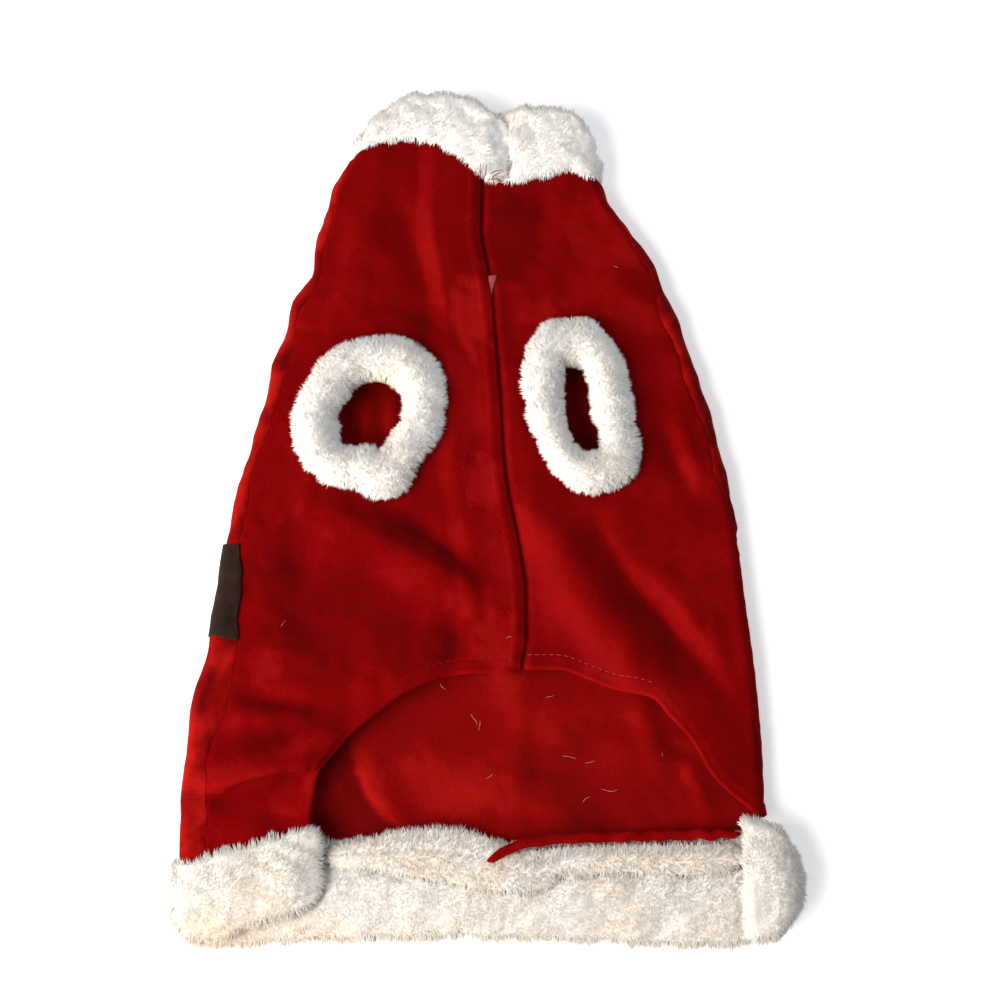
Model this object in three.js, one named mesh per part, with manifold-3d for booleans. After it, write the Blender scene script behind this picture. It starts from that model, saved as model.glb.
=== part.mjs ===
// A dog's santa costume, lying on its back on a level surface, belly side up.
// Millimetres. X runs across the coat, Y from the hem to the neck, Z up from the surface.
// The coat is a flattened tube: a back panel below, wrapped up round both sides to the
// side seams, and two belly panels above that overlap at a placket.
import * as THREE from 'three';
import Module from 'manifold-3d';
import { mergeVertices } from 'three/addons/utils/BufferGeometryUtils.js';

// Driving dimensions
const CLOTH = 1.6; // velour wall with its nap
const SEAM_GAP = 0.35; // clearance between pieces at a seam
const BELT = 0.9; // thickness of the black strip
const PAD = 0.8; // thickness of one hook or loop pad
const UNDERLAP = 21; // how far the right belly panel runs under the left one
const CENTRE_X = -2.05; // middle of the coat's outline, moved to the origin
const CENTRE_Y = 1.05;
const HALF = CLOTH / 2;

// The coat's cross-sections from hem to neck: outer edges, side seam, placket edge,
// distance of the right seam in from the right edge, and height of the upper layer.
const SECTIONS = [
    { y: -180, left: -144.2, leftSeam: -130.6, placket: 15, right: 129.8, rightInset: -1, top: 12 },
    { y: -155, left: -145.4, leftSeam: -132.7, placket: 15, right: 129.8, rightInset: -2, top: 11.6 },
    { y: -130, left: -145, leftSeam: -133, placket: 15, right: 129.8, rightInset: -3, top: 11.2 },
    { y: -110, left: -144, leftSeam: -126.8, placket: 15, right: 129.2, rightInset: -3, top: 11.2 },
    { y: -90, left: -139.5, leftSeam: -122.4, placket: 15, right: 128, rightInset: -3, top: 11.2 },
    { y: -70, left: -135, leftSeam: -121, placket: 17.3, right: 126.2, rightInset: -3, top: 11.2 },
    { y: -50, left: -132.8, leftSeam: -121.2, placket: 17.1, right: 124.2, rightInset: -2.8, top: 11.2 },
    { y: -30, left: -130.7, leftSeam: -121.4, placket: 14.8, right: 122.6, rightInset: -1.6, top: 11.2 },
    { y: -15, left: -128.6, leftSeam: -120.9, placket: 12, right: 121.2, rightInset: 1.6, top: 11.2 },
    { y: 0, left: -125.3, leftSeam: -119, placket: 8.8, right: 119, rightInset: 4.5, top: 11.2 },
    { y: 20, left: -120.8, leftSeam: -114.7, placket: 6.4, right: 115.3, rightInset: 5.5, top: 11.2 },
    { y: 40, left: -116.3, leftSeam: -108.4, placket: 5.4, right: 111.6, rightInset: 7, top: 11.2 },
    { y: 60, left: -111.5, leftSeam: -103.2, placket: 4.2, right: 105.9, rightInset: 8, top: 11.2 },
    { y: 80, left: -106.6, leftSeam: -99.9, placket: 2.4, right: 99.7, rightInset: 8.3, top: 11.2 },
    { y: 100, left: -100.8, leftSeam: -94, placket: 1, right: 93, rightInset: 7.5, top: 11.3 },
    { y: 120, left: -93.2, leftSeam: -86.7, placket: -1.7, right: 84.9, rightInset: 5.5, top: 11.6 },
    { y: 140, left: -88.2, leftSeam: -82.5, placket: -5, right: 73.3, rightInset: 3.5, top: 12.2 },
    { y: 160, left: -83.6, leftSeam: -80, placket: -4.7, right: 60.5, rightInset: 2, top: 13.3 },
    { y: 182, left: -74, leftSeam: -73.2, placket: -4.3, right: 55, rightInset: 1.2, top: 14.2 },
];

// The belly arch, from the placket outwards to each side
const LEFT_ARCH = [
    { x: 15, y: -89.8 },
    { x: -8, y: -89.4 },
    { x: -20, y: -90.4 },
    { x: -28, y: -92.7 },
    { x: -43, y: -100.1 },
    { x: -54, y: -108.8 },
    { x: -66, y: -118.9 },
    { x: -74, y: -127.6 },
    { x: -79, y: -134 },
    { x: -81.5, y: -140 },
    { x: -83, y: -157.5 },
];
const RIGHT_ARCH = [
    { x: -6, y: -87 },
    { x: 18, y: -87.2 },
    { x: 35, y: -87.6 },
    { x: 46, y: -91.6 },
    { x: 60, y: -97 },
    { x: 77, y: -101 },
    { x: 85, y: -109 },
    { x: 96, y: -121.5 },
    { x: 104, y: -136 },
    { x: 112, y: -145 },
    { x: 120, y: -151.5 },
    { x: 126, y: -156.4 },
];

// The white band on the hem. Its path in X and Z starts at the left front flap, turns round
// the left fold, runs under the coat and curls up over the right end.
const BAND_PATH = [
    { x: -76, z: 13.2, thick: 7, side: 'left' },
    { x: -90, z: 13, thick: 7.4, side: 'left' },
    { x: -108, z: 12.9, thick: 7.4, side: 'left' },
    { x: -126, z: 12.8, thick: 7.2, side: 'left' },
    { x: -137, z: 12.3, thick: 6.8, side: 'left' },
    { x: -143, z: 10.6, thick: 6.6, side: 'left' },
    { x: -145, z: 8, thick: 6.6, side: 'back' },
    { x: -143, z: 5.2, thick: 6.7, side: 'back' },
    { x: -137, z: 3.6, thick: 7, side: 'back' },
    { x: -124, z: 3.7, thick: 7.4, side: 'back' },
    { x: -95, z: 3.7, thick: 7.4, side: 'back' },
    { x: -62, z: 3.7, thick: 7.4, side: 'back' },
    { x: -38, z: 3.7, thick: 7.4, side: 'back' },
    { x: -18, z: 3.7, thick: 7.4, side: 'back' },
    { x: 0, z: 3.7, thick: 7.4, side: 'back' },
    { x: 14, z: 3.7, thick: 7.4, side: 'back' },
    { x: 45, z: 3.7, thick: 7.4, side: 'back' },
    { x: 80, z: 3.7, thick: 7.4, side: 'back' },
    { x: 108, z: 3.7, thick: 7.4, side: 'back' },
    { x: 124, z: 3.8, thick: 7.6, side: 'back' },
    { x: 133.6, z: 4.6, thick: 8.4, side: 'back' },
    { x: 138.8, z: 7, thick: 8.6, side: 'back' },
    { x: 139.8, z: 10.2, thick: 8.8, side: 'right' },
    { x: 137.2, z: 13.6, thick: 9.4, side: 'right' },
    { x: 131, z: 15.2, thick: 10.4, side: 'right' },
    { x: 123, z: 15, thick: 9.8, side: 'right' },
    { x: 118.5, z: 14.4, thick: 8.6, side: 'right' },
];
const BAND_EDGES = {
    left: [
        { x: -150, low: -201, top: -178.6 },
        { x: -145, low: -205.5, top: -176.6 },
        { x: -138, low: -212.6, top: -175.6 },
        { x: -123, low: -213, top: -171.9 },
        { x: -114, low: -207.6, top: -169.2 },
        { x: -98, low: -203.2, top: -164.7 },
        { x: -84, low: -199, top: -160.4 },
        { x: -79, low: -196, top: -162.2 },
        { x: -74, low: -190, top: -171 },
    ],
    back: [
        { x: -150, low: -201, top: -178.6 },
        { x: -145, low: -205.5, top: -176.6 },
        { x: -138, low: -213.4, top: -175 },
        { x: -125, low: -215, top: -171 },
        { x: -82, low: -212.6, top: -167.4 },
        { x: -40, low: -212, top: -166.6 },
        { x: 0, low: -211.5, top: -168 },
        { x: 30, low: -212.6, top: -168.8 },
        { x: 56, low: -213.4, top: -168 },
        { x: 86, low: -215, top: -167.2 },
        { x: 112, low: -215, top: -165.4 },
        { x: 126, low: -213.4, top: -162 },
        { x: 134, low: -209.4, top: -161.5 },
        { x: 139.8, low: -199.5, top: -171 },
        { x: 145, low: -190, top: -178 },
    ],
    right: [
        { x: 114, low: -204, top: -162 },
        { x: 118.5, low: -210, top: -156.4 },
        { x: 123, low: -212.6, top: -156.8 },
        { x: 129, low: -212.4, top: -158.4 },
        { x: 134, low: -209, top: -161.2 },
        { x: 139.8, low: -199.5, top: -171 },
        { x: 145, low: -190, top: -178 },
    ],
};

// The collar: left front end over the right one, round the left fold, behind the neck,
// round the right fold to the right front end.
const COLLAR_PATH = [
    { x: 6, z: 18.3, thick: 4.4, side: 'left' },
    { x: -3, z: 18.3, thick: 4.8, side: 'left' },
    { x: -12, z: 17.4, thick: 6, side: 'left' },
    { x: -23, z: 15.8, thick: 7.2, side: 'left' },
    { x: -36, z: 15.4, thick: 7.4, side: 'left' },
    { x: -48, z: 15.2, thick: 7.2, side: 'left' },
    { x: -58, z: 14.8, thick: 6.8, side: 'left' },
    { x: -65, z: 13.6, thick: 6.2, side: 'left' },
    { x: -69.6, z: 11.4, thick: 6, side: 'left' },
    { x: -70.8, z: 8.6, thick: 5.8, side: 'back' },
    { x: -69.4, z: 5.2, thick: 6, side: 'back' },
    { x: -64, z: 3.3, thick: 6.4, side: 'back' },
    { x: -50, z: 3.2, thick: 6.4, side: 'back' },
    { x: -30, z: 3.2, thick: 6.4, side: 'back' },
    { x: -8, z: 3.2, thick: 6.4, side: 'back' },
    { x: 16, z: 3.2, thick: 6.4, side: 'back' },
    { x: 36, z: 3.2, thick: 6.4, side: 'back' },
    { x: 48, z: 3.3, thick: 6.4, side: 'back' },
    { x: 53.4, z: 5.2, thick: 6, side: 'back' },
    { x: 54.8, z: 8.6, thick: 5.8, side: 'right' },
    { x: 53.2, z: 11.8, thick: 6, side: 'right' },
    { x: 47, z: 14.4, thick: 6.8, side: 'right' },
    { x: 38, z: 15.5, thick: 7.4, side: 'right' },
    { x: 27, z: 15.2, thick: 7, side: 'right' },
    { x: 17, z: 14.2, thick: 5.4, side: 'right' },
    { x: 9, z: 13.7, thick: 4.2, side: 'right' },
    { x: 0, z: 13.6, thick: 4, side: 'right' },
];
const COLLAR_EDGES = {
    left: [
        { x: -74, low: 178, top: 187 },
        { x: -70, low: 180, top: 192 },
        { x: -65, low: 185.2, top: 199 },
        { x: -57, low: 188.4, top: 206.4 },
        { x: -47, low: 189.8, top: 214 },
        { x: -36, low: 188.6, top: 216.8 },
        { x: -22, low: 183.6, top: 216.8 },
        { x: -13, low: 176.8, top: 213.6 },
        { x: -5, low: 168.6, top: 209 },
        { x: 0, low: 167, top: 203.6 },
        { x: 6, low: 176, top: 194 },
    ],
    back: [
        { x: -74, low: 178, top: 187 },
        { x: -70, low: 178, top: 192 },
        { x: -57, low: 175, top: 206.8 },
        { x: -36, low: 172.6, top: 217.4 },
        { x: -13, low: 170.6, top: 214.5 },
        { x: 10, low: 169.4, top: 208.6 },
        { x: 30, low: 168.6, top: 209.6 },
        { x: 42, low: 168.2, top: 206 },
        { x: 50, low: 168.2, top: 197 },
        { x: 55, low: 168.2, top: 184.5 },
        { x: 58, low: 169, top: 176 },
    ],
    right: [
        { x: -2, low: 164.4, top: 206 },
        { x: 10, low: 166.2, top: 207.6 },
        { x: 26, low: 168.9, top: 209.4 },
        { x: 40, low: 172, top: 207 },
        { x: 49, low: 170, top: 199 },
        { x: 55, low: 168.2, top: 184.5 },
        { x: 58, low: 169, top: 176 },
    ],
};

// The fur strip that faces the band's inside, seen through the belly arch
const FACING = { thick: 2.8, base: 7.4 };
const FACING_EDGES = [
    { x: -68, low: -181, top: -168 },
    { x: -58, low: -180.5, top: -167 },
    { x: -41, low: -183, top: -162.6 },
    { x: -23, low: -186, top: -161.6 },
    { x: -4, low: -189.4, top: -164.4 },
    { x: 14, low: -191.4, top: -172 },
    { x: 27, low: -189.4, top: -170.6 },
    { x: 38, low: -183.4, top: -170 },
    { x: 61, low: -183, top: -169 },
    { x: 89, low: -183.5, top: -168.6 },
    { x: 109, low: -182.5, top: -168.4 },
];

// Leg bands: matched points on the inner and outer edge of each fur ring
const LEFT_CUFF = [
    { inX: -59, inY: 58.5, outX: -56, outY: 81 },
    { inX: -67, inY: 56, outX: -77.5, outY: 74 },
    { inX: -71, inY: 49.5, outX: -89, outY: 60 },
    { inX: -76, inY: 41, outX: -96.5, outY: 45 },
    { inX: -75, inY: 33, outX: -97.5, outY: 30 },
    { inX: -74, inY: 25, outX: -91.5, outY: 15 },
    { inX: -66, inY: 24, outX: -78, outY: 4.2 },
    { inX: -59, inY: 24, outX: -65, outY: 2.2 },
    { inX: -54.5, inY: 21.8, outX: -53, outY: -2.6 },
    { inX: -50.8, inY: 25, outX: -42.5, outY: 1.5 },
    { inX: -48, inY: 31.5, outX: -34, outY: 16 },
    { inX: -45, inY: 39, outX: -25.5, outY: 30 },
    { inX: -43.2, inY: 46, outX: -22, outY: 49 },
    { inX: -47, inY: 54, outX: -28, outY: 68.5 },
    { inX: -52, inY: 57, outX: -42, outY: 79 },
];
const RIGHT_CUFF = [
    { inX: 42, inY: 66.5, outX: 41, outY: 91 },
    { inX: 37.6, inY: 64.5, outX: 28.5, outY: 87.4 },
    { inX: 36.6, inY: 56, outX: 20, outY: 76 },
    { inX: 37.2, inY: 46, outX: 17, outY: 61 },
    { inX: 38.4, inY: 37, outX: 19, outY: 45 },
    { inX: 40.4, inY: 29, outX: 22.6, outY: 31 },
    { inX: 43, inY: 23.5, outX: 27.2, outY: 18 },
    { inX: 46.6, inY: 21, outX: 35, outY: 7.8 },
    { inX: 51, inY: 20.6, outX: 45, outY: 0.9 },
    { inX: 54.4, inY: 22, outX: 57, outY: 0.9 },
    { inX: 55.2, inY: 26.5, outX: 69, outY: 7 },
    { inX: 53.2, inY: 33, outX: 74, outY: 20 },
    { inX: 51.2, inY: 41, outX: 71.6, outY: 36 },
    { inX: 49.8, inY: 50, outX: 70, outY: 50 },
    { inX: 48.8, inY: 58, outX: 67, outY: 64 },
    { inX: 47.4, inY: 63.8, outX: 60.5, outY: 79 },
    { inX: 45, inY: 66, outX: 51.5, outY: 88.6 },
];
// A leg band's section: distance outwards from the inner edge as a share of the ring's
// width plus a fixed part, and height above the panel. The first two are the lip in the hole.
const CUFF_SECTION = [
    { share: 0, reach: 0.7, height: -3 },
    { share: 0, reach: 2.6, height: -3 },
    { share: 0, reach: 2.8, height: 0.75 },
    { share: 0.6, reach: 0, height: 0.75 },
    { share: 1, reach: -1.6, height: 0.75 },
    { share: 1, reach: 0, height: 2.6 },
    { share: 0.9, reach: 0, height: 6.4 },
    { share: 0.68, reach: 0, height: 9.2 },
    { share: 0.42, reach: 0, height: 9.8 },
    { share: 0.18, reach: 0, height: 8 },
    { share: 0, reach: 0, height: 4 },
    { share: 0, reach: 0.1, height: 0 },
];
const HOLE_EDGE = 3.15; // leg hole's edge, out from the ring's inner edge

// Folds of the upper layer. Each follows a path of X, Y and height, above 0 on a ridge and below
// 0 in a trough. Seen along the path, it falls off over one width on its left and one on its right.
const FOLDS = [
    {
        left: 8, right: 15,
        path: [[-86, -6, 0], [-72, -15, 3.6], [-54, -23, 5.2], [-29, -37, 5.6], [-8, -49, 4.2], [10, -58, 0]],
    },
    {
        left: 7, right: 5,
        path: [[-68, 2, 0], [-52, -6, -1.2], [-39, -13, -1.5], [-15, -32, -1.5], [4, -47, 0]],
    },
    { left: 5, right: 9, path: [[-26, -56, 0], [-17, -66, -1.5], [-13, -78, -1.5], [-10, -90, 0]] },
    { left: 9, right: 9, path: [[-90, -4, 0], [-92, -30, -1], [-93, -60, -1.3], [-86, -86, 0]] },
    {
        left: 5, right: 5,
        path: [[-126, -97, 0], [-112, -100, -1.3], [-96, -103, -1.5], [-80, -105, -1.4], [-56, -99, 0]],
    },
    { left: 5, right: 5, path: [[-124, -112, 0], [-112, -110, 1.6], [-98, -109, 1.4], [-84, -107, 0]] },
    { left: 5, right: 5, path: [[-130, -128, 0], [-114, -120, -1.5], [-91, -115, -1.5], [-72, -106, 0]] },
    {
        left: 7, right: 5,
        path: [[-140, -145, 0], [-128, -140, 2.4], [-112, -134, 3.4], [-94, -127, 3.4], [-80, -119, 2.2], [-70, -112, 0]],
    },
    {
        left: 5, right: 8,
        path: [[-138, -152, 0], [-128, -150, -1.2], [-113, -145, -1.6], [-96, -140, -1.6], [-78, -138, 0]],
    },
    {
        left: 15, right: 13,
        path: [[10, 2, 0], [22, -12, 3.4], [38, -38, 5.4], [53, -63, 5.2], [68, -84, 4], [80, -100, 2], [86, -108, 0]],
    },
    {
        left: 5, right: 9,
        path: [[46, -8, 0], [56, -24, -1.6], [71, -48, -2.2], [89, -69, -2.2], [105, -89, -1.8], [124, -109, 0]],
    },
    { left: 12, right: 6, path: [[70, -30, 0], [86, -48, 2.2], [102, -68, 2.4], [116, -84, 0]] },
    {
        left: 6, right: 9,
        path: [[-54, 168, 0], [-46, 150, -1.2], [-36, 120, -1.6], [-27, 96, -1], [-22, 84, 0]],
    },
    { left: 6, right: 6, path: [[-66, 100, 0], [-50, 99, -0.9], [-30, 92, -1.1], [-20, 78, 0]] },
    {
        left: 6, right: 6,
        path: [[-34, 166, 0], [-30, 150, 1.6], [-24, 120, 2.2], [-18, 94, 1.6], [-14, 80, 0]],
    },
    { left: 9, right: 9, path: [[-62, 160, 0], [-68, 130, 1.8], [-70, 104, 0]] },
    { left: 5, right: 6, path: [[92, 46, 0], [98, 30, 1.3], [104, 10, 1.3], [106, -6, 0]] },
    { left: 5, right: 6, path: [[80, 40, 0], [87, 30, -1.2], [95, 12, -1.4], [102, -2, 0]] },
    { left: 8, right: 8, path: [[44, 114, 0], [60, 112, 1.6], [84, 104, 1.4], [98, 98, 0]] },
];

const COLOURS = { red: 0xa30d14, white: 0xf1eeea, black: 0x241713, tape: 0x8e1016 };

// Interpolation
const mix = (a, b, t) => a + (b - a) * t;
const clamp = (value, low, high) => Math.min(Math.max(value, low), high);
const smooth = (from, to, value) => {
    const t = clamp((value - from) / (to - from), 0, 1);
    return t * t * (3 - 2 * t);
};

// A curve through a table's rows that never overshoots them: cubic pieces whose slope at
// each row is the harmonic mean of its neighbours', or zero at a turning point.
function follow(rows, key, field) {
    const sorted = [...rows].sort((a, b) => a[key] - b[key]);
    const xs = sorted.map((row) => row[key]);
    const ys = sorted.map((row) => row[field]);
    const steps = xs.slice(1).map((x, i) => (ys[i + 1] - ys[i]) / (x - xs[i]));
    const slopes = xs.map((x, i) => {
        if (i === 0) return steps[0];
        if (i === xs.length - 1) return steps[i - 1];
        const [before, after] = [steps[i - 1], steps[i]];
        return before * after <= 0 ? 0 : (2 * before * after) / (before + after);
    });
    return (value) => {
        const x = clamp(value, xs[0], xs[xs.length - 1]);
        let i = 0;
        while (i < xs.length - 2 && x > xs[i + 1]) i += 1;
        const span = xs[i + 1] - xs[i];
        const t = (x - xs[i]) / span;
        const rise = t * t * (3 - 2 * t);
        const bend = slopes[i] * t * (1 - t) * (1 - t) - slopes[i + 1] * t * t * (1 - t);
        return mix(ys[i], ys[i + 1], rise) + span * bend;
    };
}

const OUTLINE_FIELDS = ['left', 'leftSeam', 'placket', 'right', 'rightInset', 'top'];
const outline = Object.fromEntries(OUTLINE_FIELDS.map((field) => [field, follow(SECTIONS, 'y', field)]));

// The belt lies under the back panel, which rises over it by the belt and a seam gap.
const BELT_TOP = -25;
const BELT_LOW = -71;
const BELT_MARGIN = 13;
const BELT_RAMP = 12;
function panelFloor(y) {
    const above = BELT_TOP + BELT_MARGIN;
    const below = BELT_LOW - BELT_MARGIN;
    const raised = smooth(below - BELT_RAMP, below, y) * (1 - smooth(above, above + BELT_RAMP, y));
    return HALF + (BELT + SEAM_GAP) * raised;
}

// A cross-section of the tube's middle surface: where its two round folds begin
function sectionAt(y) {
    const top = outline.top(y);
    const floor = panelFloor(y);
    const radius = (top - floor) / 2;
    const foldLeft = outline.left(y) + HALF + radius;
    const foldRight = outline.right(y) - HALF - radius;
    return { top, floor, radius, foldLeft, foldRight };
}

// What the folds add at a place: each one's height at the nearest point of its path, falling off
// as a bell over the width of the side that the place is on
function foldHeight(x, y) {
    let height = 0;
    for (const { path, left, right } of FOLDS) {
        let nearest = { distance: Infinity };
        for (let i = 0; i < path.length - 1; i += 1) {
            const [x1, y1, height1] = path[i];
            const [x2, y2, height2] = path[i + 1];
            const [dx, dy] = [x2 - x1, y2 - y1];
            const along = clamp(((x - x1) * dx + (y - y1) * dy) / (dx * dx + dy * dy), 0, 1);
            const distance = Math.hypot(x - x1 - along * dx, y - y1 - along * dy);
            if (distance < nearest.distance) {
                const width = dx * (y - y1) - dy * (x - x1) > 0 ? left : right;
                nearest = { distance, width, height: mix(height1, height2, along) };
            }
        }
        height += nearest.height * Math.exp(-((nearest.distance / nearest.width) ** 2));
    }
    return height;
}

const FOLD_FADE = 14; // folds fade out over this distance from the coat's edge
const LAYER_SHIFT = 2.05; // half of what the two placket layers and their pads need
const PLACKET_STIFF = 0.8; // share of a fold's height that the stiff placket takes away
function upperLayer(x, y) {
    const section = sectionAt(y);
    const edge = Math.min(x - section.foldLeft, section.foldRight - x);
    const fromPlacket = Math.abs(x - outline.placket(y) + UNDERLAP / 2);
    const soft = 1 - PLACKET_STIFF * (1 - smooth(UNDERLAP * 0.4, UNDERLAP, fromPlacket));
    return section.top + foldHeight(x, y) * smooth(0, FOLD_FADE, edge) * soft;
}
function leftLift(x, y) {
    const edge = outline.placket(y);
    return LAYER_SHIFT * smooth(edge - UNDERLAP - 13, edge - UNDERLAP - 2, x);
}
function rightLift(x, y) {
    const edge = outline.placket(y);
    return -LAYER_SHIFT * (1 - smooth(edge + 0.5, edge + 10, x));
}

// A point of the tube at a distance measured round it: positive X is the right side. Past a
// fold's start the distance bends round the fold and then runs back under the coat.
function skin(across, y, lift) {
    const section = sectionAt(y);
    const right = across > section.foldRight;
    const left = across < section.foldLeft;
    if (!right && !left) {
        const height = upperLayer(across, y) + (lift ? lift(across, y) : 0);
        return { position: new THREE.Vector3(across, y, height), normal: new THREE.Vector3(0, 0, 1) };
    }
    const side = right ? 1 : -1;
    const start = right ? section.foldRight : section.foldLeft;
    const past = Math.abs(across - start);
    const halfTurn = Math.PI * section.radius;
    if (past > halfTurn) {
        const x = start - side * (past - halfTurn);
        return { position: new THREE.Vector3(x, y, section.floor), normal: new THREE.Vector3(0, 0, -1) };
    }
    const angle = past / section.radius;
    const [sine, cosine] = [Math.sin(angle), Math.cos(angle)];
    const x = start + side * section.radius * sine;
    const z = section.floor + section.radius * (1 + cosine);
    return { position: new THREE.Vector3(x, y, z), normal: new THREE.Vector3(side * sine, 0, cosine) };
}

// Distance round the tube of a seam that is seen at a given distance in from the edge, or
// that lies turned under the edge by that distance where it is negative
function seamAcross(side, inset, y) {
    const section = sectionAt(y);
    const start = side > 0 ? section.foldRight : section.foldLeft;
    if (inset < 0) return start + side * (section.radius * Math.PI * 0.5 - inset);
    const depth = inset - HALF;
    if (depth >= section.radius) return start - side * (depth - section.radius);
    return start + side * section.radius * Math.asin(clamp(1 - depth / section.radius, -1, 1));
}
const leftSeam = (y) => seamAcross(-1, outline.leftSeam(y) - outline.left(y), y);
const rightSeam = (y) => seamAcross(1, outline.rightInset(y), y);

// Builders for closed solids
function solid(points, faces) {
    const geometry = new THREE.BufferGeometry();
    const flat = new Float32Array(points.flatMap((p) => [p.x, p.y, p.z]));
    geometry.setAttribute('position', new THREE.BufferAttribute(flat, 3));
    geometry.setIndex(faces);
    return geometry;
}

// A cloth wall: a grid of middle points moved out and in by half the thickness, joined all
// round its edge. The grid's columns run across and its rows down, so its faces point out.
function clothWall(columns, rows, at, thickness) {
    const points = [];
    for (const half of [thickness / 2, -thickness / 2]) {
        for (let row = 0; row <= rows; row += 1) {
            for (let column = 0; column <= columns; column += 1) {
                const { position, normal } = at(column / columns, row / rows);
                points.push(position.clone().addScaledVector(normal, half));
            }
        }
    }
    const inner = (rows + 1) * (columns + 1);
    const index = (column, row) => row * (columns + 1) + column;
    const faces = [];
    const quad = (a, b, c, d) => faces.push(a, b, c, a, c, d);
    for (let row = 0; row < rows; row += 1) {
        for (let column = 0; column < columns; column += 1) {
            const [a, b] = [index(column, row), index(column + 1, row)];
            const [c, d] = [index(column + 1, row + 1), index(column, row + 1)];
            quad(a, d, c, b);
            quad(a + inner, b + inner, c + inner, d + inner);
        }
    }
    for (let column = 0; column < columns; column += 1) {
        const [a, b] = [index(column, 0), index(column + 1, 0)];
        quad(a, b, b + inner, a + inner);
        const [c, d] = [index(column, rows), index(column + 1, rows)];
        quad(d, c, c + inner, d + inner);
    }
    for (let row = 0; row < rows; row += 1) {
        const [a, b] = [index(0, row), index(0, row + 1)];
        quad(b, a, a + inner, b + inner);
        const [c, d] = [index(columns, row), index(columns, row + 1)];
        quad(c, d, d + inner, c + inner);
    }
    return solid(points, faces);
}

// Rings of points joined into a tube. It closes on itself, or ends in two fans.
function joinRings(rings, closed) {
    const count = rings[0].length;
    const points = rings.flat();
    const faces = [];
    const last = closed ? rings.length : rings.length - 1;
    for (let ring = 0; ring < last; ring += 1) {
        const next = (ring + 1) % rings.length;
        for (let i = 0; i < count; i += 1) {
            const j = (i + 1) % count;
            const [a, b] = [ring * count + i, ring * count + j];
            const [c, d] = [next * count + j, next * count + i];
            faces.push(a, b, c, a, c, d);
        }
    }
    if (!closed) {
        const end = (rings.length - 1) * count;
        for (let i = 1; i < count - 1; i += 1) {
            faces.push(0, i + 1, i);
            faces.push(end, end + i, end + i + 1);
        }
    }
    return solid(points, faces);
}

// A fur wall that follows a path in X and Z. Each section is a bar with round edges between
// the low and top edge at that X, as thick as the path's row says, and both ends are round.
const SECTION_STEPS = 4;
const EDGE_FULLNESS = 0.16; // how much fuller than a half circle a section's edge is
const END_TURNS = [20, 45, 70, 90];
const END_ROUND = 0.35; // share of the first and last row's spacing that the round end takes
const TANGENT_STEP = 1e-4;
function furWall(path, edges, perRow) {
    const numbered = path.map((row, i) => ({ ...row, i: i / (path.length - 1) }));
    const [alongX, alongZ, alongThick] = ['x', 'z', 'thick'].map((field) => follow(numbered, 'i', field));
    const tables = Object.fromEntries(
        Object.entries(edges).map(([side, rows]) => [
            side,
            [follow(rows, 'x', 'low'), follow(rows, 'x', 'top')],
        ]),
    );
    const last = path.length - 1;
    const stations = [];
    for (let i = 1; i < last * perRow; i += 1) stations.push({ t: i / (last * perRow), turn: 90 });
    for (const turn of END_TURNS) {
        const t = (END_ROUND * (1 - Math.cos(THREE.MathUtils.degToRad(turn)))) / last;
        stations.push({ t, turn }, { t: 1 - t, turn });
    }
    stations.sort((a, b) => a.t - b.t);
    const rings = stations.map(({ t, turn }) => {
        const shrink = Math.sin(THREE.MathUtils.degToRad(turn));
        const centre = new THREE.Vector3(alongX(t), 0, alongZ(t));
        const [before, after] = [t - TANGENT_STEP, t + TANGENT_STEP];
        const [dx, dz] = [alongX(after) - alongX(before), alongZ(after) - alongZ(before)];
        const outwards = new THREE.Vector3(dz, 0, -dx).normalize();
        const thick = alongThick(t);
        const side = path[Math.min(Math.round(t * last), last)].side;
        const [low, top] = tables[side].map((edge) => edge(centre.x));
        const bulge = (thick / 2) * shrink;
        const half = (top - low) / 2 - thick / 2 - (thick / 2) * (1 - shrink);
        const ring = [];
        for (const end of [-1, 1]) {
            for (let step = 0; step <= SECTION_STEPS; step += 1) {
                const angle = (Math.PI * step) / SECTION_STEPS;
                const full = bulge * (1 + EDGE_FULLNESS * Math.sin(2 * angle) ** 2);
                const along = end * (half + full * Math.sin(angle));
                const out = -end * full * Math.cos(angle);
                const point = centre.clone().addScaledVector(outwards, out);
                ring.push(new THREE.Vector3(point.x, (low + top) / 2 + along, Math.max(point.z, 0)));
            }
        }
        return ring.reverse();
    });
    return { geometry: joinRings(rings, false), tables };
}

const band = furWall(BAND_PATH, BAND_EDGES, 2);
const collar = furWall(COLLAR_PATH, COLLAR_EDGES, 2);
const [, bandTopLeft] = band.tables.left;
const [, bandTopBack] = band.tables.back;
const [collarLowLeft] = collar.tables.left;
const [collarLowBack] = collar.tables.back;
const [collarLowRight] = collar.tables.right;

// The back panel, from the left seam round under the coat to the right seam
const FUR_GAP = 0.55; // clearance between a panel's edge and a fur wall's round edge
const FOLD_CLEAR = 0.6; // extra clearance to the band where both turn round a fold
const NECK_Y = 176;
const HEM_Y = -172;
const WRAP_COLUMNS = 9;
const FLOOR_COLUMNS = 8;
function backAcross(column, y) {
    const section = sectionAt(y);
    const middle = (section.foldLeft + section.foldRight) / 2;
    const halfTurn = Math.PI * section.radius;
    const total = 2 * (WRAP_COLUMNS + FLOOR_COLUMNS);
    const left = column <= WRAP_COLUMNS + FLOOR_COLUMNS;
    const steps = left ? column : total - column;
    const start = left ? section.foldLeft : section.foldRight;
    const side = left ? -1 : 1;
    const seam = left ? leftSeam(y) : rightSeam(y);
    const turned = start + side * halfTurn;
    if (steps <= WRAP_COLUMNS) return mix(seam, turned, steps / WRAP_COLUMNS);
    return mix(turned, turned + side * Math.abs(middle - start), (steps - WRAP_COLUMNS) / FLOOR_COLUMNS);
}
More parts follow.
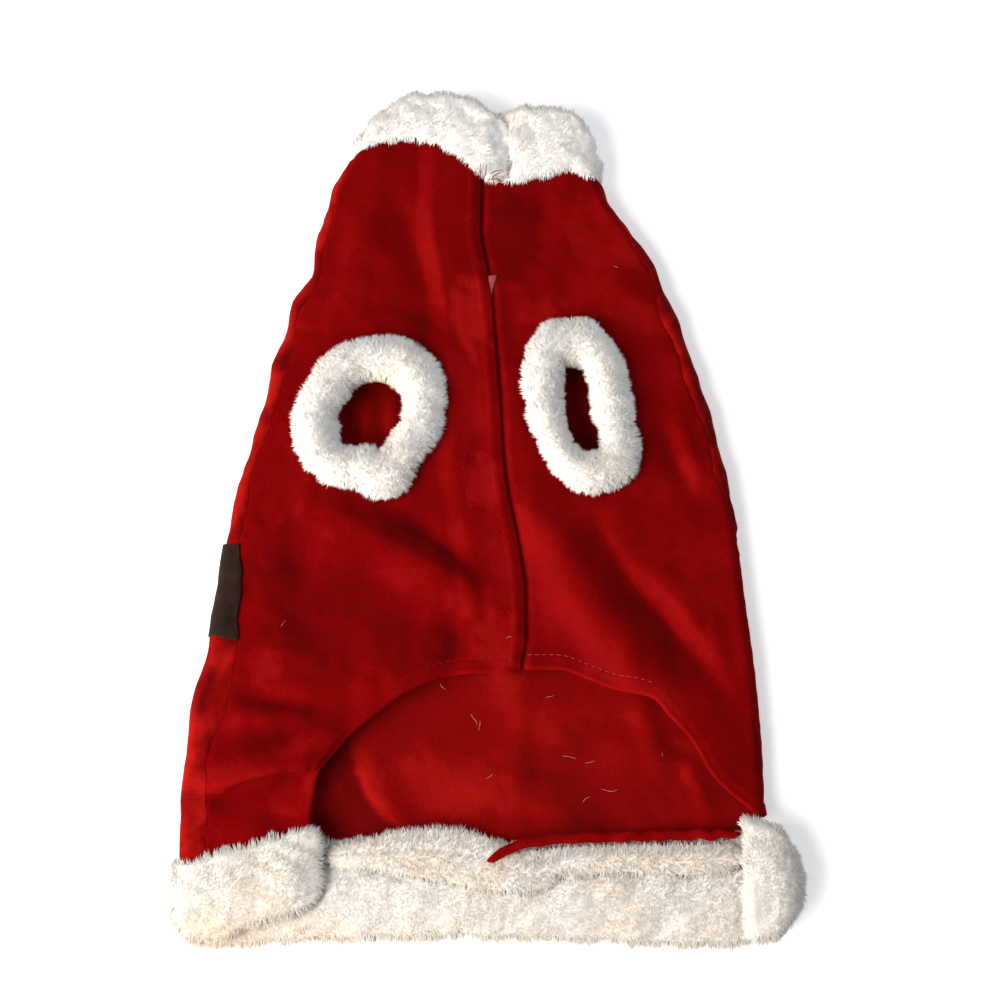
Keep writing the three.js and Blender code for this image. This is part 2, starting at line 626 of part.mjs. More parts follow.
// How far a column has turned from the upper layer, 0, to the lower one, 1
function turnShare(column) {
    const total = 2 * (WRAP_COLUMNS + FLOOR_COLUMNS);
    const steps = Math.min(column, total - column);
    return clamp((steps - 3) / (WRAP_COLUMNS - 3), 0, 1);
}
function backPoint(u, v) {
    const total = 2 * (WRAP_COLUMNS + FLOOR_COLUMNS);
    const column = Math.round(u * total);
    const share = turnShare(column);
    const left = column <= total / 2;
    const neckX = skin(backAcross(column, NECK_Y), NECK_Y).position.x;
    const hemX = skin(backAcross(column, HEM_Y), HEM_Y).position.x;
    const neckUpper = left ? collarLowBack(-72) : collarLowBack(56);
    const neck = mix(neckUpper - FUR_GAP, collarLowBack(neckX), share);
    const hemUpper = left ? bandTopLeft(hemX) : RIGHT_ARCH[RIGHT_ARCH.length - 1].y;
    const clear = mix(FUR_GAP, SEAM_GAP / 2, share) + 4 * FOLD_CLEAR * share * (1 - share);
    const hem = mix(hemUpper, bandTopBack(hemX), share) + clear;
    const y = mix(neck, hem, v);
    return skin(backAcross(column, y), y);
}

// Belly panels: a table of edge points becomes a curve over the share of the way across
function edgeCurve(rows, from, to) {
    const shares = rows.map(({ x, y }) => ({ share: (x - from(y)) / (to(y) - from(y)), y }));
    return follow(shares, 'share', 'y');
}
// Edge points between two X values, at a curve's height there
const sampled = (from, to, count, at) =>
    Array.from({ length: count + 1 }, (_, i) => {
        const x = mix(from, to, i / count);
        return { x, y: at(x) };
    });

const leftEdges = {
    from: leftSeam,
    to: (y) => outline.placket(y),
    neck: sampled(-72, -4.6, 12, (x) => collarLowLeft(x) - FUR_GAP),
    hem: [...LEFT_ARCH, ...sampled(-86, -130, 8, (x) => bandTopLeft(x) + FUR_GAP)],
    lift: leftLift,
};
const rightEdges = {
    from: (y) => outline.placket(y) - UNDERLAP,
    to: rightSeam,
    neck: sampled(-3, 54, 8, (x) => collarLowRight(x) - FUR_GAP),
    hem: RIGHT_ARCH,
    lift: rightLift,
};
const SEAM_SIDE = 0.5; // a belly panel stands this far in from the back panel's edge
function bellyPoint(edges, spacing) {
    const neck = edgeCurve(edges.neck, edges.from, edges.to);
    const hem = edgeCurve(edges.hem, edges.from, edges.to);
    return (u, v) => {
        const share = spacing(u);
        const y = mix(neck(share), hem(share), v);
        const across = mix(edges.from(y) + SEAM_SIDE, edges.to(y) - SEAM_SIDE, share);
        return skin(across, y, edges.lift);
    };
}
// Columns stand closer beside the left hem's steep corner, where the panel drops to the band
const CORNER_SHARE = 0.335;
const cornerSpacing = (u) => {
    const shift = u - CORNER_SHARE;
    return u - 0.6 * shift * Math.exp(-((shift / 0.14) ** 2));
};

// Leg bands
const CUFF_STEPS = 36;
function cuffCurves(rows) {
    const loop = (x, y) => {
        const points = rows.map((row) => new THREE.Vector3(row[x], row[y], 0));
        return new THREE.CatmullRomCurve3(points, true);
    };
    const [inner, outer] = [loop('inX', 'inY'), loop('outX', 'outY')];
    return Array.from({ length: CUFF_STEPS }, (_, i) => {
        const t = i / CUFF_STEPS;
        return [inner.getPoint(t), outer.getPoint(t)];
    });
}
function cuffRing(rows, lift) {
    const rings = cuffCurves(rows).map(([inner, outer]) => {
        const width = inner.distanceTo(outer);
        const direction = outer.clone().sub(inner).normalize();
        return CUFF_SECTION.map(({ share, reach, height }) => {
            const point = inner.clone().addScaledVector(direction, share * width + reach);
            const ground = upperLayer(point.x, point.y) + lift(point.x, point.y) + HALF;
            return point.setZ(ground + height);
        }).reverse();
    });
    return joinRings(rings, true);
}
const HOLE_DEPTH = 16;
const HOLE_START = 5;
function holePrism(rows) {
    const edge = cuffCurves(rows).map(([inner, outer]) => {
        const direction = outer.clone().sub(inner).normalize();
        const point = inner.clone().addScaledVector(direction, HOLE_EDGE);
        return new THREE.Vector2(point.x, point.y);
    });
    const depth = { depth: HOLE_DEPTH, bevelEnabled: false };
    const prism = new THREE.ExtrudeGeometry(new THREE.Shape(edge), depth);
    return prism.translate(0, 0, HOLE_START);
}

// Boolean cuts
const wasm = await Module();
wasm.setup();
function toManifold(geometry) {
    const bare = geometry.clone();
    bare.deleteAttribute('normal');
    bare.deleteAttribute('uv');
    const merged = mergeVertices(bare, 1e-4);
    return new wasm.Manifold(
        new wasm.Mesh({
            numProp: 3,
            vertProperties: new Float32Array(merged.attributes.position.array),
            triVerts: new Uint32Array(merged.index.array),
        }),
    );
}
function fromManifold(manifold) {
    const mesh = manifold.getMesh();
    const geometry = new THREE.BufferGeometry();
    geometry.setAttribute('position', new THREE.BufferAttribute(mesh.vertProperties, 3));
    geometry.setIndex(new THREE.BufferAttribute(mesh.triVerts, 1));
    return geometry;
}
const cut = (geometry, tool) => fromManifold(toManifold(geometry).subtract(toManifold(tool)));

// The belt: the back panel's outer points moved out, between its own two edges
const BELT_END_DROP = 3; // the belt's lower edge at the left seam
function beltPoint(u, v) {
    const total = 2 * (WRAP_COLUMNS + FLOOR_COLUMNS);
    const column = Math.round(u * total);
    const low = BELT_LOW - BELT_END_DROP * clamp(1 - column / 4, 0, 1);
    const y = mix(BELT_TOP - clamp(1 - column / 4, 0, 1), low, v);
    const { position, normal } = skin(backAcross(column, y), y);
    return { position: position.addScaledVector(normal, HALF + SEAM_GAP + BELT / 2), normal };
}

function facingPoint(u, v) {
    const low = follow(FACING_EDGES, 'x', 'low');
    const top = follow(FACING_EDGES, 'x', 'top');
    const x = mix(FACING_EDGES[0].x, FACING_EDGES[FACING_EDGES.length - 1].x, u);
    const height = FACING.base + SEAM_GAP + FACING.thick / 2;
    const position = new THREE.Vector3(x, mix(top(x), low(x), v), height);
    return { position, normal: new THREE.Vector3(0, 0, 1) };
}

// Hook-and-loop pads between the two placket layers, from each panel's own points
const PAD_WIDTH = 15;
const PADS = [
    { y: 97, length: 25 },
    { y: 6, length: 27 },
    { y: -74, length: 24 },
];
function padPoint(pad, lift, shift) {
    return (u, v) => {
        const y = pad.y + pad.length * (0.5 - v);
        const x = outline.placket(y) - UNDERLAP / 2 + PAD_WIDTH * (u - 0.5);
        const height = upperLayer(x, y) + lift(x, y) + shift;
        return { position: new THREE.Vector3(x, y, height), normal: new THREE.Vector3(0, 0, 1) };
    };
}
const PAD_GAP = 0.3; // clearance between a pad and the panel that it is sewn to
const PAD_OFFSET = HALF + PAD_GAP + PAD / 2;

// The parts, each a mesh of its own
const coat = new THREE.Group();
coat.position.set(-CENTRE_X, -CENTRE_Y, 0);
function add(name, geometry, colour, roughness) {
    const material = new THREE.MeshStandardMaterial({ color: colour, roughness, metalness: 0 });
    const mesh = new THREE.Mesh(geometry, material);
    mesh.name = name;
    coat.add(mesh);
}

const straight = (u) => u;
// The back panel's columns run from left to right under the coat, so they are taken from the
// right seam round to keep the grid's faces outwards.
const reversed = (at) => (u, v) => at(1 - u, v);
const leftPanel = clothWall(26, 34, bellyPoint(leftEdges, cornerSpacing), CLOTH);
const rightPanel = clothWall(24, 32, bellyPoint(rightEdges, straight), CLOTH);
const backPanel = clothWall(2 * (WRAP_COLUMNS + FLOOR_COLUMNS), 28, reversed(backPoint), CLOTH);
const belt = clothWall(2 * (WRAP_COLUMNS + FLOOR_COLUMNS), 5, reversed(beltPoint), BELT);

add('back_panel', backPanel, COLOURS.red, 0.85);
add('belly_left', cut(leftPanel, holePrism(LEFT_CUFF)), COLOURS.red, 0.85);
add('belly_right', cut(rightPanel, holePrism(RIGHT_CUFF)), COLOURS.red, 0.85);
add('cuff_left', cuffRing(LEFT_CUFF, leftLift), COLOURS.white, 0.95);
add('cuff_right', cuffRing(RIGHT_CUFF, rightLift), COLOURS.white, 0.95);
add('collar', collar.geometry, COLOURS.white, 0.95);
add('hem_band', band.geometry, COLOURS.white, 0.95);
add('hem_facing', clothWall(24, 3, facingPoint, FACING.thick), COLOURS.white, 0.95);
add('belt', belt, COLOURS.black, 0.6);
PADS.forEach((pad, i) => {
    const hook = padPoint(pad, rightLift, PAD_OFFSET);
    const loop = padPoint(pad, leftLift, -PAD_OFFSET);
    add(`closure_hook_${i + 1}`, clothWall(3, 5, hook, PAD), COLOURS.tape, 0.9);
    add(`closure_loop_${i + 1}`, clothWall(3, 5, loop, PAD), COLOURS.tape, 0.9);
});

export default coat;
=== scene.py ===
"""A dog's santa costume lying on its back: its cloth, fur and sewing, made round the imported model.

Shapes are worked out in millimetres in the coat's own frame, with X across the coat, Y from the hem
to the neck and Z up from the surface that it lies on, and put into the meshes in metres.
"""

import math

import bpy
import numpy as np
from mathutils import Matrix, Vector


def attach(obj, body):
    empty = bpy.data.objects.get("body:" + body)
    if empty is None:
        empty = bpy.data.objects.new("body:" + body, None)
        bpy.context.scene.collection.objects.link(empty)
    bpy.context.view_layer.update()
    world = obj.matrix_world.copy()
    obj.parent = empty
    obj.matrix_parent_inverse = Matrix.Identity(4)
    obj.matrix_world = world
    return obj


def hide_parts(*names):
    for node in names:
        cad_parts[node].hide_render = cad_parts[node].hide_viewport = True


bl_info = {
    "name": "Dog Santa Costume",
    "version": (1, 0, 0),
    "blender": (4, 5, 0),
    "location": "View3D > Sidebar > Costume",
    "description": "Builds the cloth, fur and sewing of a dog's santa costume round its packed model",
    "category": "Add Mesh",
}

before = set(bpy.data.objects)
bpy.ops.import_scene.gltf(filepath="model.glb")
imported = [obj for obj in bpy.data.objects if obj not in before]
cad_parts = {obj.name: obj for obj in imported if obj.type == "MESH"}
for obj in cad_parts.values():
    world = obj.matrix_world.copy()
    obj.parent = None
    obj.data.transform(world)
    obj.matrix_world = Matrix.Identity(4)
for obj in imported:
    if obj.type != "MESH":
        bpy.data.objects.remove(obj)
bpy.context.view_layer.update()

MM = 0.001
CENTRE = np.array([-2.05, 1.05, 0.0])  # the coat's own point that is the frame's origin

# Driving dimensions
CLOTH = 1.6  # thickness of the velour
HALF = CLOTH / 2
SEAM_GAP = 0.35  # room between two pieces that are sewn together
UNDERLAP = 21.0  # how far the right belly panel runs under the left one
LAYER_SHIFT = 2.05  # how far the left panel rises there, and the right one sinks
PLACKET_STIFF = 0.8  # share of the folds that the placket holds flat
FOLD_FADE = 14.0  # width beside the coat's edges over which the folds fade
HEM_STITCH = 7.2  # distance of the hems' stitches from the edge
PLACKET_STITCH = 7.3  # and of the placket's
TAPE_WIDE = 20.0  # width of the closure tapes on the placket
TAPE_SPANS = ((84, 111), (-8, 21), (-89, -58))  # where each begins and ends, in Y
BELT_THICK = 0.9
BELT_TOP = -25.0
BELT_LOW = -71.0
BELT_MARGIN = 13.0  # the back panel stays raised this far past the belt's edges
BELT_RAMP = 12.0  # and comes down again over this length
BELT_TUCK = 5.0  # how far under the coat the belt's right end stops short of the seam
HOLE_EDGE = 3.15  # how far a leg hole's cut lies out from its band's inner edge
FLOOR_MARGIN = 0.02  # cloth stays this far above the floor
LOCK_MARGIN = 0.15  # and the fur's tips this far
PANEL_COLUMNS = 106
PANEL_ROWS = 122


def columns(names, *rows):
    """Returns a table as one array for each named column."""
    return dict(zip(names.split(), np.array(rows, float).T))


# The coat's cross-sections from hem to neck
SECTIONS = columns(
    "y left left_seam placket right right_inset top",
    (-180, -144.2, -130.6, 15, 129.8, -1, 12),
    (-155, -145.4, -132.7, 15, 129.8, -2, 11.6),
    (-130, -145, -133, 15, 129.8, -3, 11.2),
    (-110, -144, -126.8, 15, 129.2, -3, 11.2),
    (-90, -139.5, -122.4, 15, 128, -3, 11.2),
    (-70, -135, -121, 17.3, 126.2, -3, 11.2),
    (-50, -132.8, -121.2, 17.1, 124.2, -2.8, 11.2),
    (-30, -130.7, -121.4, 14.8, 122.6, -1.6, 11.2),
    (-15, -128.6, -120.9, 12, 121.2, 1.6, 11.2),
    (0, -125.3, -119, 8.8, 119, 4.5, 11.2),
    (20, -120.8, -114.7, 6.4, 115.3, 5.5, 11.2),
    (40, -116.3, -108.4, 5.4, 111.6, 7, 11.2),
    (60, -111.5, -103.2, 4.2, 105.9, 8, 11.2),
    (80, -106.6, -99.9, 2.4, 99.7, 8.3, 11.2),
    (100, -100.8, -94, 1, 93, 7.5, 11.3),
    (120, -93.2, -86.7, -1.7, 84.9, 5.5, 11.6),
    (140, -88.2, -82.5, -5, 73.3, 3.5, 12.2),
    (160, -83.6, -80, -4.7, 60.5, 2, 13.3),
    (182, -74, -73.2, -4.3, 55, 1.2, 14.2),
)

# The belly arch, from the placket outwards to each side
LEFT_ARCH = columns(
    "x y",
    (15, -89.8),
    (-8, -89.4),
    (-20, -90.4),
    (-28, -92.7),
    (-43, -100.1),
    (-54, -108.8),
    (-66, -118.9),
    (-74, -127.6),
    (-79, -134),
    (-81.5, -140),
    (-83, -157.5),
)
RIGHT_ARCH = columns(
    "x y",
    (-6, -87),
    (18, -87.2),
    (35, -87.6),
    (46, -91.6),
    (60, -97),
    (77, -101),
    (85, -109),
    (96, -121.5),
    (104, -136),
    (112, -145),
    (120, -151.5),
    (126, -156.4),
)

# Fur walls: the path of each in X and Z with its thickness, and the edges that it keeps to on
# each side. The side is 0 for the left front, 1 for the back and 2 for the right front.
BAND_PATH = columns(
    "x z thick side",
    (-76, 11.4, 6.4, 0),
    (-90, 12.5, 7.4, 0),
    (-108, 12.9, 7.4, 0),
    (-126, 12.8, 7.2, 0),
    (-137, 12.3, 6.8, 0),
    (-143, 10.6, 6.6, 0),
    (-145, 8, 6.6, 1),
    (-143, 5.2, 6.7, 1),
    (-137, 3.6, 7, 1),
    (-124, 3.7, 7.4, 1),
    (-95, 3.7, 7.4, 1),
    (-62, 3.7, 7.4, 1),
    (-38, 3.7, 7.4, 1),
    (-18, 3.7, 7.4, 1),
    (0, 3.7, 7.4, 1),
    (14, 3.7, 7.4, 1),
    (45, 3.7, 7.4, 1),
    (80, 3.7, 7.4, 1),
    (108, 3.7, 7.4, 1),
    (124, 3.8, 7.6, 1),
    (133.6, 4.6, 8.4, 1),
    (138.8, 7, 8.6, 1),
    (139.8, 10.2, 8.8, 2),
    (137.2, 13.6, 9.4, 2),
    (131, 15.2, 10.4, 2),
    (123, 15, 9.8, 2),
    (118.5, 14.4, 8.6, 2),
)
BAND_EDGES = (
    columns(
        "x low top",
        (-150, -201, -178.6),
        (-145, -205.5, -176.6),
        (-138, -212.6, -175.6),
        (-123, -213, -171.9),
        (-114, -207.6, -169.2),
        (-98, -203.2, -164.7),
        (-84, -199, -160.4),
        (-79, -196, -162.2),
        (-74, -190, -171),
    ),
    columns(
        "x low top",
        (-150, -201, -178.6),
        (-145, -205.5, -176.6),
        (-138, -213.4, -175),
        (-125, -215, -171),
        (-82, -212.6, -167.4),
        (-40, -212, -166.6),
        (0, -211.5, -168),
        (30, -212.6, -168.8),
        (56, -213.4, -168),
        (86, -215, -167.2),
        (112, -215, -165.4),
        (126, -213.4, -162),
        (134, -209.4, -161.5),
        (139.8, -199.5, -171),
        (145, -190, -178),
    ),
    columns(
        "x low top",
        (114, -204, -162),
        (118.5, -210, -156.4),
        (123, -212.6, -156.8),
        (129, -212.4, -158.4),
        (134, -209, -161.2),
        (139.8, -199.5, -171),
        (145, -190, -178),
    ),
)
COLLAR_PATH = columns(
    "x z thick side",
    (13, 14.2, 2.2, 0),
    (5, 16, 3.4, 0),
    (-3, 17.4, 4.6, 0),
    (-12, 17.2, 6, 0),
    (-23, 15.8, 7.2, 0),
    (-36, 15.4, 7.4, 0),
    (-48, 15.2, 7.2, 0),
    (-58, 14.8, 6.8, 0),
    (-65, 13.6, 6.2, 0),
    (-69.6, 11.4, 6, 0),
    (-70.8, 8.6, 5.8, 1),
    (-69.4, 5.2, 6, 1),
    (-64, 3.3, 6.4, 1),
    (-50, 3.2, 6.4, 1),
    (-30, 3.2, 6.4, 1),
    (-8, 3.2, 6.4, 1),
    (16, 3.2, 6.4, 1),
    (36, 3.2, 6.4, 1),
    (48, 3.3, 6.4, 1),
    (53.4, 5.2, 6, 1),
    (54.8, 8.6, 5.8, 2),
    (53.2, 11.8, 6, 2),
    (47, 14.4, 6.8, 2),
    (38, 15.5, 7.4, 2),
    (27, 15.2, 7, 2),
    (18, 14.9, 6.8, 2),
    (12.5, 14.5, 6, 2),
    (8.5, 13.7, 4.2, 2),
    (0, 13.6, 4, 2),
)
COLLAR_EDGES = (
    columns(
        "x low top",
        (-74, 178, 187),
        (-70, 180, 192),
        (-65, 185.2, 199),
        (-57, 188.4, 206.4),
        (-47, 189.8, 214),
        (-36, 188.6, 216.8),
        (-22, 183.6, 216.8),
        (-13, 176.8, 213.6),
        (-5, 168.6, 209),
        (0, 166.4, 205),
        (7, 168, 202),
        (12, 174, 195),
    ),
    columns(
        "x low top",
        (-74, 178, 187),
        (-70, 178, 192),
        (-57, 175, 206.8),
        (-36, 172.6, 217.4),
        (-13, 170.6, 214.5),
        (10, 169.4, 208.6),
        (30, 168.6, 209.6),
        (42, 168.2, 206),
        (50, 168.2, 197),
        (55, 168.2, 184.5),
        (58, 169, 176),
    ),
    columns(
        "x low top",
        (-2, 164.4, 206),
        (10, 166.2, 207.6),
        (26, 168.9, 209.4),
        (40, 172, 207),
        (49, 170, 199),
        (55, 168.2, 184.5),
        (58, 169, 176),
    ),
)
FACING_EDGES = columns(
    "x low top",
    (-68, -181, -168),
    (-58, -180.5, -167),
    (-41, -183, -162.6),
    (-23, -186, -161.6),
    (-4, -189.4, -164.4),
    (14, -191.4, -172),
    (27, -189.4, -170.6),
    (38, -183.4, -170),
    (61, -183, -169),
    (89, -183.5, -168.6),
    (109, -182.5, -168.4),
)
FACING_LEVEL = 8.9  # middle of the facing strip's height
FACING_THICK = 3.4

# Leg bands: matched points on the inner and outer edge of each fur ring
LEFT_CUFF = columns(
    "in_x in_y out_x out_y",
    (-59, 58.5, -56, 81),
    (-67, 56, -77.5, 74),
    (-71, 49.5, -89, 60),
    (-76, 41, -96.5, 45),
    (-75, 33, -97.5, 30),
    (-74, 25, -91.5, 15),
    (-66, 24, -78, 4.2),
    (-59, 24, -65, 2.2),
    (-54.5, 21.8, -53, -2.6),
    (-50.8, 25, -42.5, 1.5),
    (-48, 31.5, -34, 16),
    (-45, 39, -25.5, 30),
    (-43.2, 46, -22, 49),
    (-47, 54, -28, 68.5),
    (-52, 57, -42, 79),
)
RIGHT_CUFF = columns(
    "in_x in_y out_x out_y",
    (42, 66.5, 41, 91),
    (37.6, 64.5, 28.5, 87.4),
    (36.6, 56, 20, 76),
    (37.2, 46, 17, 61),
    (38.4, 37, 19, 45),
    (40.4, 29, 22.6, 31),
    (43, 23.5, 27.2, 18),
    (46.6, 21, 35, 7.8),
    (51, 20.6, 45, 0.9),
    (54.4, 22, 57, 0.9),
    (55.2, 26.5, 69, 7),
    (53.2, 33, 74, 20),
    (51.2, 41, 71.6, 36),
    (49.8, 50, 70, 50),
    (48.8, 58, 67, 64),
    (47.4, 63.8, 60.5, 79),
    (45, 66, 51.5, 88.6),
)
# A leg band's section: distance out from the inner edge as a share of the ring's width plus a
# fixed part, and height above the panel
CUFF_SECTION = columns(
    "share reach height",
    (0, 0.7, -3),
    (0, 2.6, -3),
    (0, 2.8, 0.75),
    (0.6, 0, 0.75),
    (1, -1.6, 0.75),
    (1, 0, 2.6),
    (0.9, 0, 6.4),
    (0.68, 0, 9.2),
    (0.42, 0, 9.8),
    (0.18, 0, 8),
    (0, 0, 4),
    (0, 0.1, 0),
)

# Folds of the upper layer: the widths over which each falls off on the left and on the right of
# its path, and its path as X, Y and height
FOLDS = (
    (8, 15, ((-86, -6, 0), (-72, -15, 3.6), (-54, -23, 5.2), (-29, -37, 5.6), (-8, -49, 4.2), (10, -58, 0))),
    (7, 5, ((-68, 2, 0), (-52, -6, -1.2), (-39, -13, -1.5), (-15, -32, -1.5), (4, -47, 0))),
    (5, 9, ((-26, -56, 0), (-17, -66, -1.5), (-13, -78, -1.5), (-10, -90, 0))),
    (9, 9, ((-90, -4, 0), (-92, -30, -1), (-93, -60, -1.3), (-86, -86, 0))),
    (5, 5, ((-126, -97, 0), (-112, -100, -2.4), (-96, -103, -3), (-80, -105, -2.5), (-56, -99, 0))),
    (5, 5, ((-124, -112, 0), (-112, -110, 1.6), (-98, -109, 1.4), (-84, -107, 0))),
    (5, 5, ((-130, -128, 0), (-114, -120, -2.6), (-91, -115, -2.8), (-72, -106, 0))),
    (
        7,
        5,
        (
            (-140, -145, 0),
            (-128, -140, 2.8),
            (-112, -134, 4.2),
            (-94, -127, 4.2),
            (-80, -119, 2.6),
            (-70, -112, 0),
        ),
    ),
    (5, 8, ((-138, -152, 0), (-128, -150, -1.2), (-113, -145, -1.6), (-96, -140, -1.6), (-78, -138, 0))),
    (
        15,
        13,
        (
            (10, 2, 0),
            (22, -12, 3.4),
            (38, -38, 5.4),
            (53, -63, 5.2),
            (68, -84, 4),
            (80, -100, 2),
            (86, -108, 0),
        ),
    ),
    (
        5,
        9,
        ((46, -8, 0), (56, -24, -1.6), (71, -48, -2.2), (89, -69, -2.2), (105, -89, -1.8), (124, -109, 0)),
    ),
    (12, 6, ((70, -30, 0), (86, -48, 2.2), (102, -68, 2.4), (116, -84, 0))),
    (6, 9, ((-54, 168, 0), (-46, 150, -1.2), (-36, 120, -1.6), (-27, 96, -1), (-22, 84, 0))),
    (6, 6, ((-66, 100, 0), (-50, 99, -0.9), (-30, 92, -1.1), (-20, 78, 0))),
    (6, 6, ((-34, 166, 0), (-30, 150, 1.6), (-24, 120, 2.2), (-18, 94, 1.6), (-14, 80, 0))),
    (9, 9, ((-62, 160, 0), (-68, 130, 1.8), (-70, 104, 0))),
    (5, 6, ((92, 46, 0), (98, 30, 1.3), (104, 10, 1.3), (106, -6, 0))),
    (5, 6, ((80, 40, 0), (87, 30, -1.2), (95, 12, -1.4), (102, -2, 0))),
    (8, 8, ((44, 114, 0), (60, 112, 1.6), (84, 104, 1.4), (98, 98, 0))),
)
# Folds of the back panel where it shows inside the arch and in the leg holes
INNER_FOLDS = (
    (6, 8, ((14, -84, 0), (15, -100, 0.9), (14, -135, 1.1), (13, -166, 0.6))),
    (6, 4, ((54, -92, 0), (58, -110, -0.5), (61, -130, -0.6), (63, -152, 0))),
    (7, 5, ((70, -92, 0), (74, -108, 1.6), (80, -128, 1.4), (84, -142, 0))),
    (4, 5, ((94, -124, 0), (98, -138, 1.0), (104, -158, 0.7))),
    (8, 6, ((-62, -112, 0), (-56, -132, 1.8), (-50, -148, 2.2), (-40, -164, 1.2))),
    (9, 9, ((-40, -112, 0), (-20, -132, 1.0), (10, -146, 1.2), (40, -150, 0.8), (60, -150, 0))),
    (3, 3, ((-36, -160.5, 0), (0, -162, 0.7), (42, -161.5, 0.9), (80, -161, 0.9), (116, -160.5, 0))),
    (5, 4, ((-66, 60, 0), (-62, 44, 1.1), (-60, 24, 0))),
    (5, 4, ((-52, 60, 0), (-50, 42, 1.3), (-49, 22, 0))),
)


# Interpolation and small vector helpers


def smooth(start, end, value):
    """Rises from 0 at start to 1 at end, level at both: 3 t squared less 2 t cubed."""
    t = np.clip((value - start) / (end - start), 0, 1)
    return t * t * (3 - 2 * t)


def mix(a, b, t):
    """Goes evenly from a at 0 to b at 1."""
    return a + (b - a) * t


def unit(vectors):
    """The vectors at a length of 1."""
    return vectors / np.maximum(np.linalg.norm(vectors, axis=-1, keepdims=True), 1e-9)


def follow(table, key, field):
    """Returns a curve through a table's rows that never overshoots them: cubic pieces whose slope
    at each row is the harmonic mean of its neighbours', or zero at a turning point."""
    order = np.argsort(table[key])
    xs, ys = table[key][order], table[field][order]
    steps = np.diff(ys) / np.diff(xs)
    before, after = steps[:-1], steps[1:]
    product = before * after
    total = np.where(np.abs(before + after) < 1e-12, 1, before + after)
    inner = np.where(product <= 0, 0, 2 * product / total)
    slopes = np.concatenate([steps[:1], inner, steps[-1:]])

    def at(values):
        x = np.clip(values, xs[0], xs[-1])
        i = np.clip(np.searchsorted(xs, x) - 1, 0, len(xs) - 2)
        span = xs[i + 1] - xs[i]
        t = (x - xs[i]) / span
        bend = slopes[i] * t * (1 - t) ** 2 - slopes[i + 1] * t * t * (1 - t)
        return mix(ys[i], ys[i + 1], t * t * (3 - 2 * t)) + span * bend

    return at


def cubic(p0, p1, p2, p3, f):
    """Catmull and Rom's cubic at a share f of the way from the second of four points to the third:
    it leaves each along the line between its neighbours."""
    return 0.5 * (
        2 * p1 + (p2 - p0) * f + (2 * p0 - 5 * p1 + 4 * p2 - p3) * f**2 + (3 * p1 - p0 - 3 * p2 + p3) * f**3
    )


def closed_spline(points, count):
    """A closed curve of such cubics through the points."""
    size = len(points)
    t = np.arange(count) * size / count
    i = t.astype(int)
    f = (t - i).reshape((-1,) + (1,) * (points.ndim - 1))
    return cubic(*(points[(i + k) % size] for k in (-1, 0, 1, 2)), f)


def open_spline(points, count):
    """The same cubics through an open row of points, whose end points are doubled."""
    points = np.asarray(points, float)
    padded = np.concatenate([points[:1], points, points[-1:]])
    t = np.linspace(0, len(points) - 1, count)
    i = np.minimum(t.astype(int), len(points) - 2)
    return cubic(*(padded[i + k] for k in range(4)), (t - i)[:, None])


def ripple(points, wavelength, seed, waves=12):
    """A smooth random field of about 1 in size: sine waves in random directions, whose lengths lie
    round the given one, added up."""
    rng = np.random.default_rng(seed)
    directions = unit(rng.normal(size=(waves, points.shape[-1])))
    lengths = wavelength * rng.uniform(0.7, 1.5, waves)
    phases = rng.uniform(0, 2 * np.pi, waves)
    angle = points @ (directions / lengths[:, None]).T * 2 * np.pi + phases
    return np.sin(angle).sum(-1) / math.sqrt(waves / 2)


def nearest(x, y, start, end):
    """For each place the share of the way along a straight stretch where it is nearest, the
    distance there, and whether the place lies on the stretch's left."""
    dx, dy = end[0] - start[0], end[1] - start[1]
    from_x, from_y = x - start[0], y - start[1]
    share = np.clip((from_x * dx + from_y * dy) / max(dx * dx + dy * dy, 1e-9), 0, 1)
    return share, np.hypot(from_x - share * dx, from_y - share * dy), dx * from_y - dy * from_x > 0


def path_distance(x, y, path):
    """Distance of each place to a row of points joined by straight stretches."""
    best = np.full(np.shape(x), 1e9)
    for start, end in zip(path[:-1], path[1:]):
        best = np.minimum(best, nearest(x, y, start, end)[1])
    return best


def path_relief(x, y, folds):
    """Adds up the folds: each one's height at the nearest point of its smoothed path, falling off
    as a bell over the width of the side that the place is on."""
    total = np.zeros(np.shape(x))
    for left, right, path in folds:
        points = open_spline(path, 4 * len(path))
        best = np.full(total.shape, 1e9)
        height = np.zeros(total.shape)
        width = np.ones(total.shape)
        for start, end in zip(points[:-1], points[1:]):
            share, distance, on_left = nearest(x, y, start, end)
            closer = distance < best
            best = np.where(closer, distance, best)
            height = np.where(closer, mix(start[2], end[2], share), height)
            width = np.where(closer, np.where(on_left, left, right), width)
        total += height * np.exp(-((best / width) ** 2))
    return total


# The coat's flattened tube

OUTLINE = {field: follow(SECTIONS, "y", field) for field in SECTIONS if field != "y"}


def panel_floor(y):
    """Height of the back panel's middle: half its cloth, and above that the belt's room, which
    ramps in and out over the belt's margins."""
    above, below = BELT_TOP + BELT_MARGIN, BELT_LOW - BELT_MARGIN
    raised = smooth(below - BELT_RAMP, below, y) * (1 - smooth(above, above + BELT_RAMP, y))
    return HALF + (BELT_THICK + SEAM_GAP) * raised


def section(y):
    """Top, floor, fold radius and where the left and right folds begin."""
    top, floor = OUTLINE["top"](y), panel_floor(y)
    radius = (top - floor) / 2
    return top, floor, radius, OUTLINE["left"](y) + HALF + radius, OUTLINE["right"](y) - HALF - radius


def unevenness(x, y):
    """The cloth's own slight waves, at two scales."""
    points = np.stack([x, y * 0.7], -1)
    return 0.3 * ripple(points, 41, 3) + 0.1 * ripple(points, 14, 4)


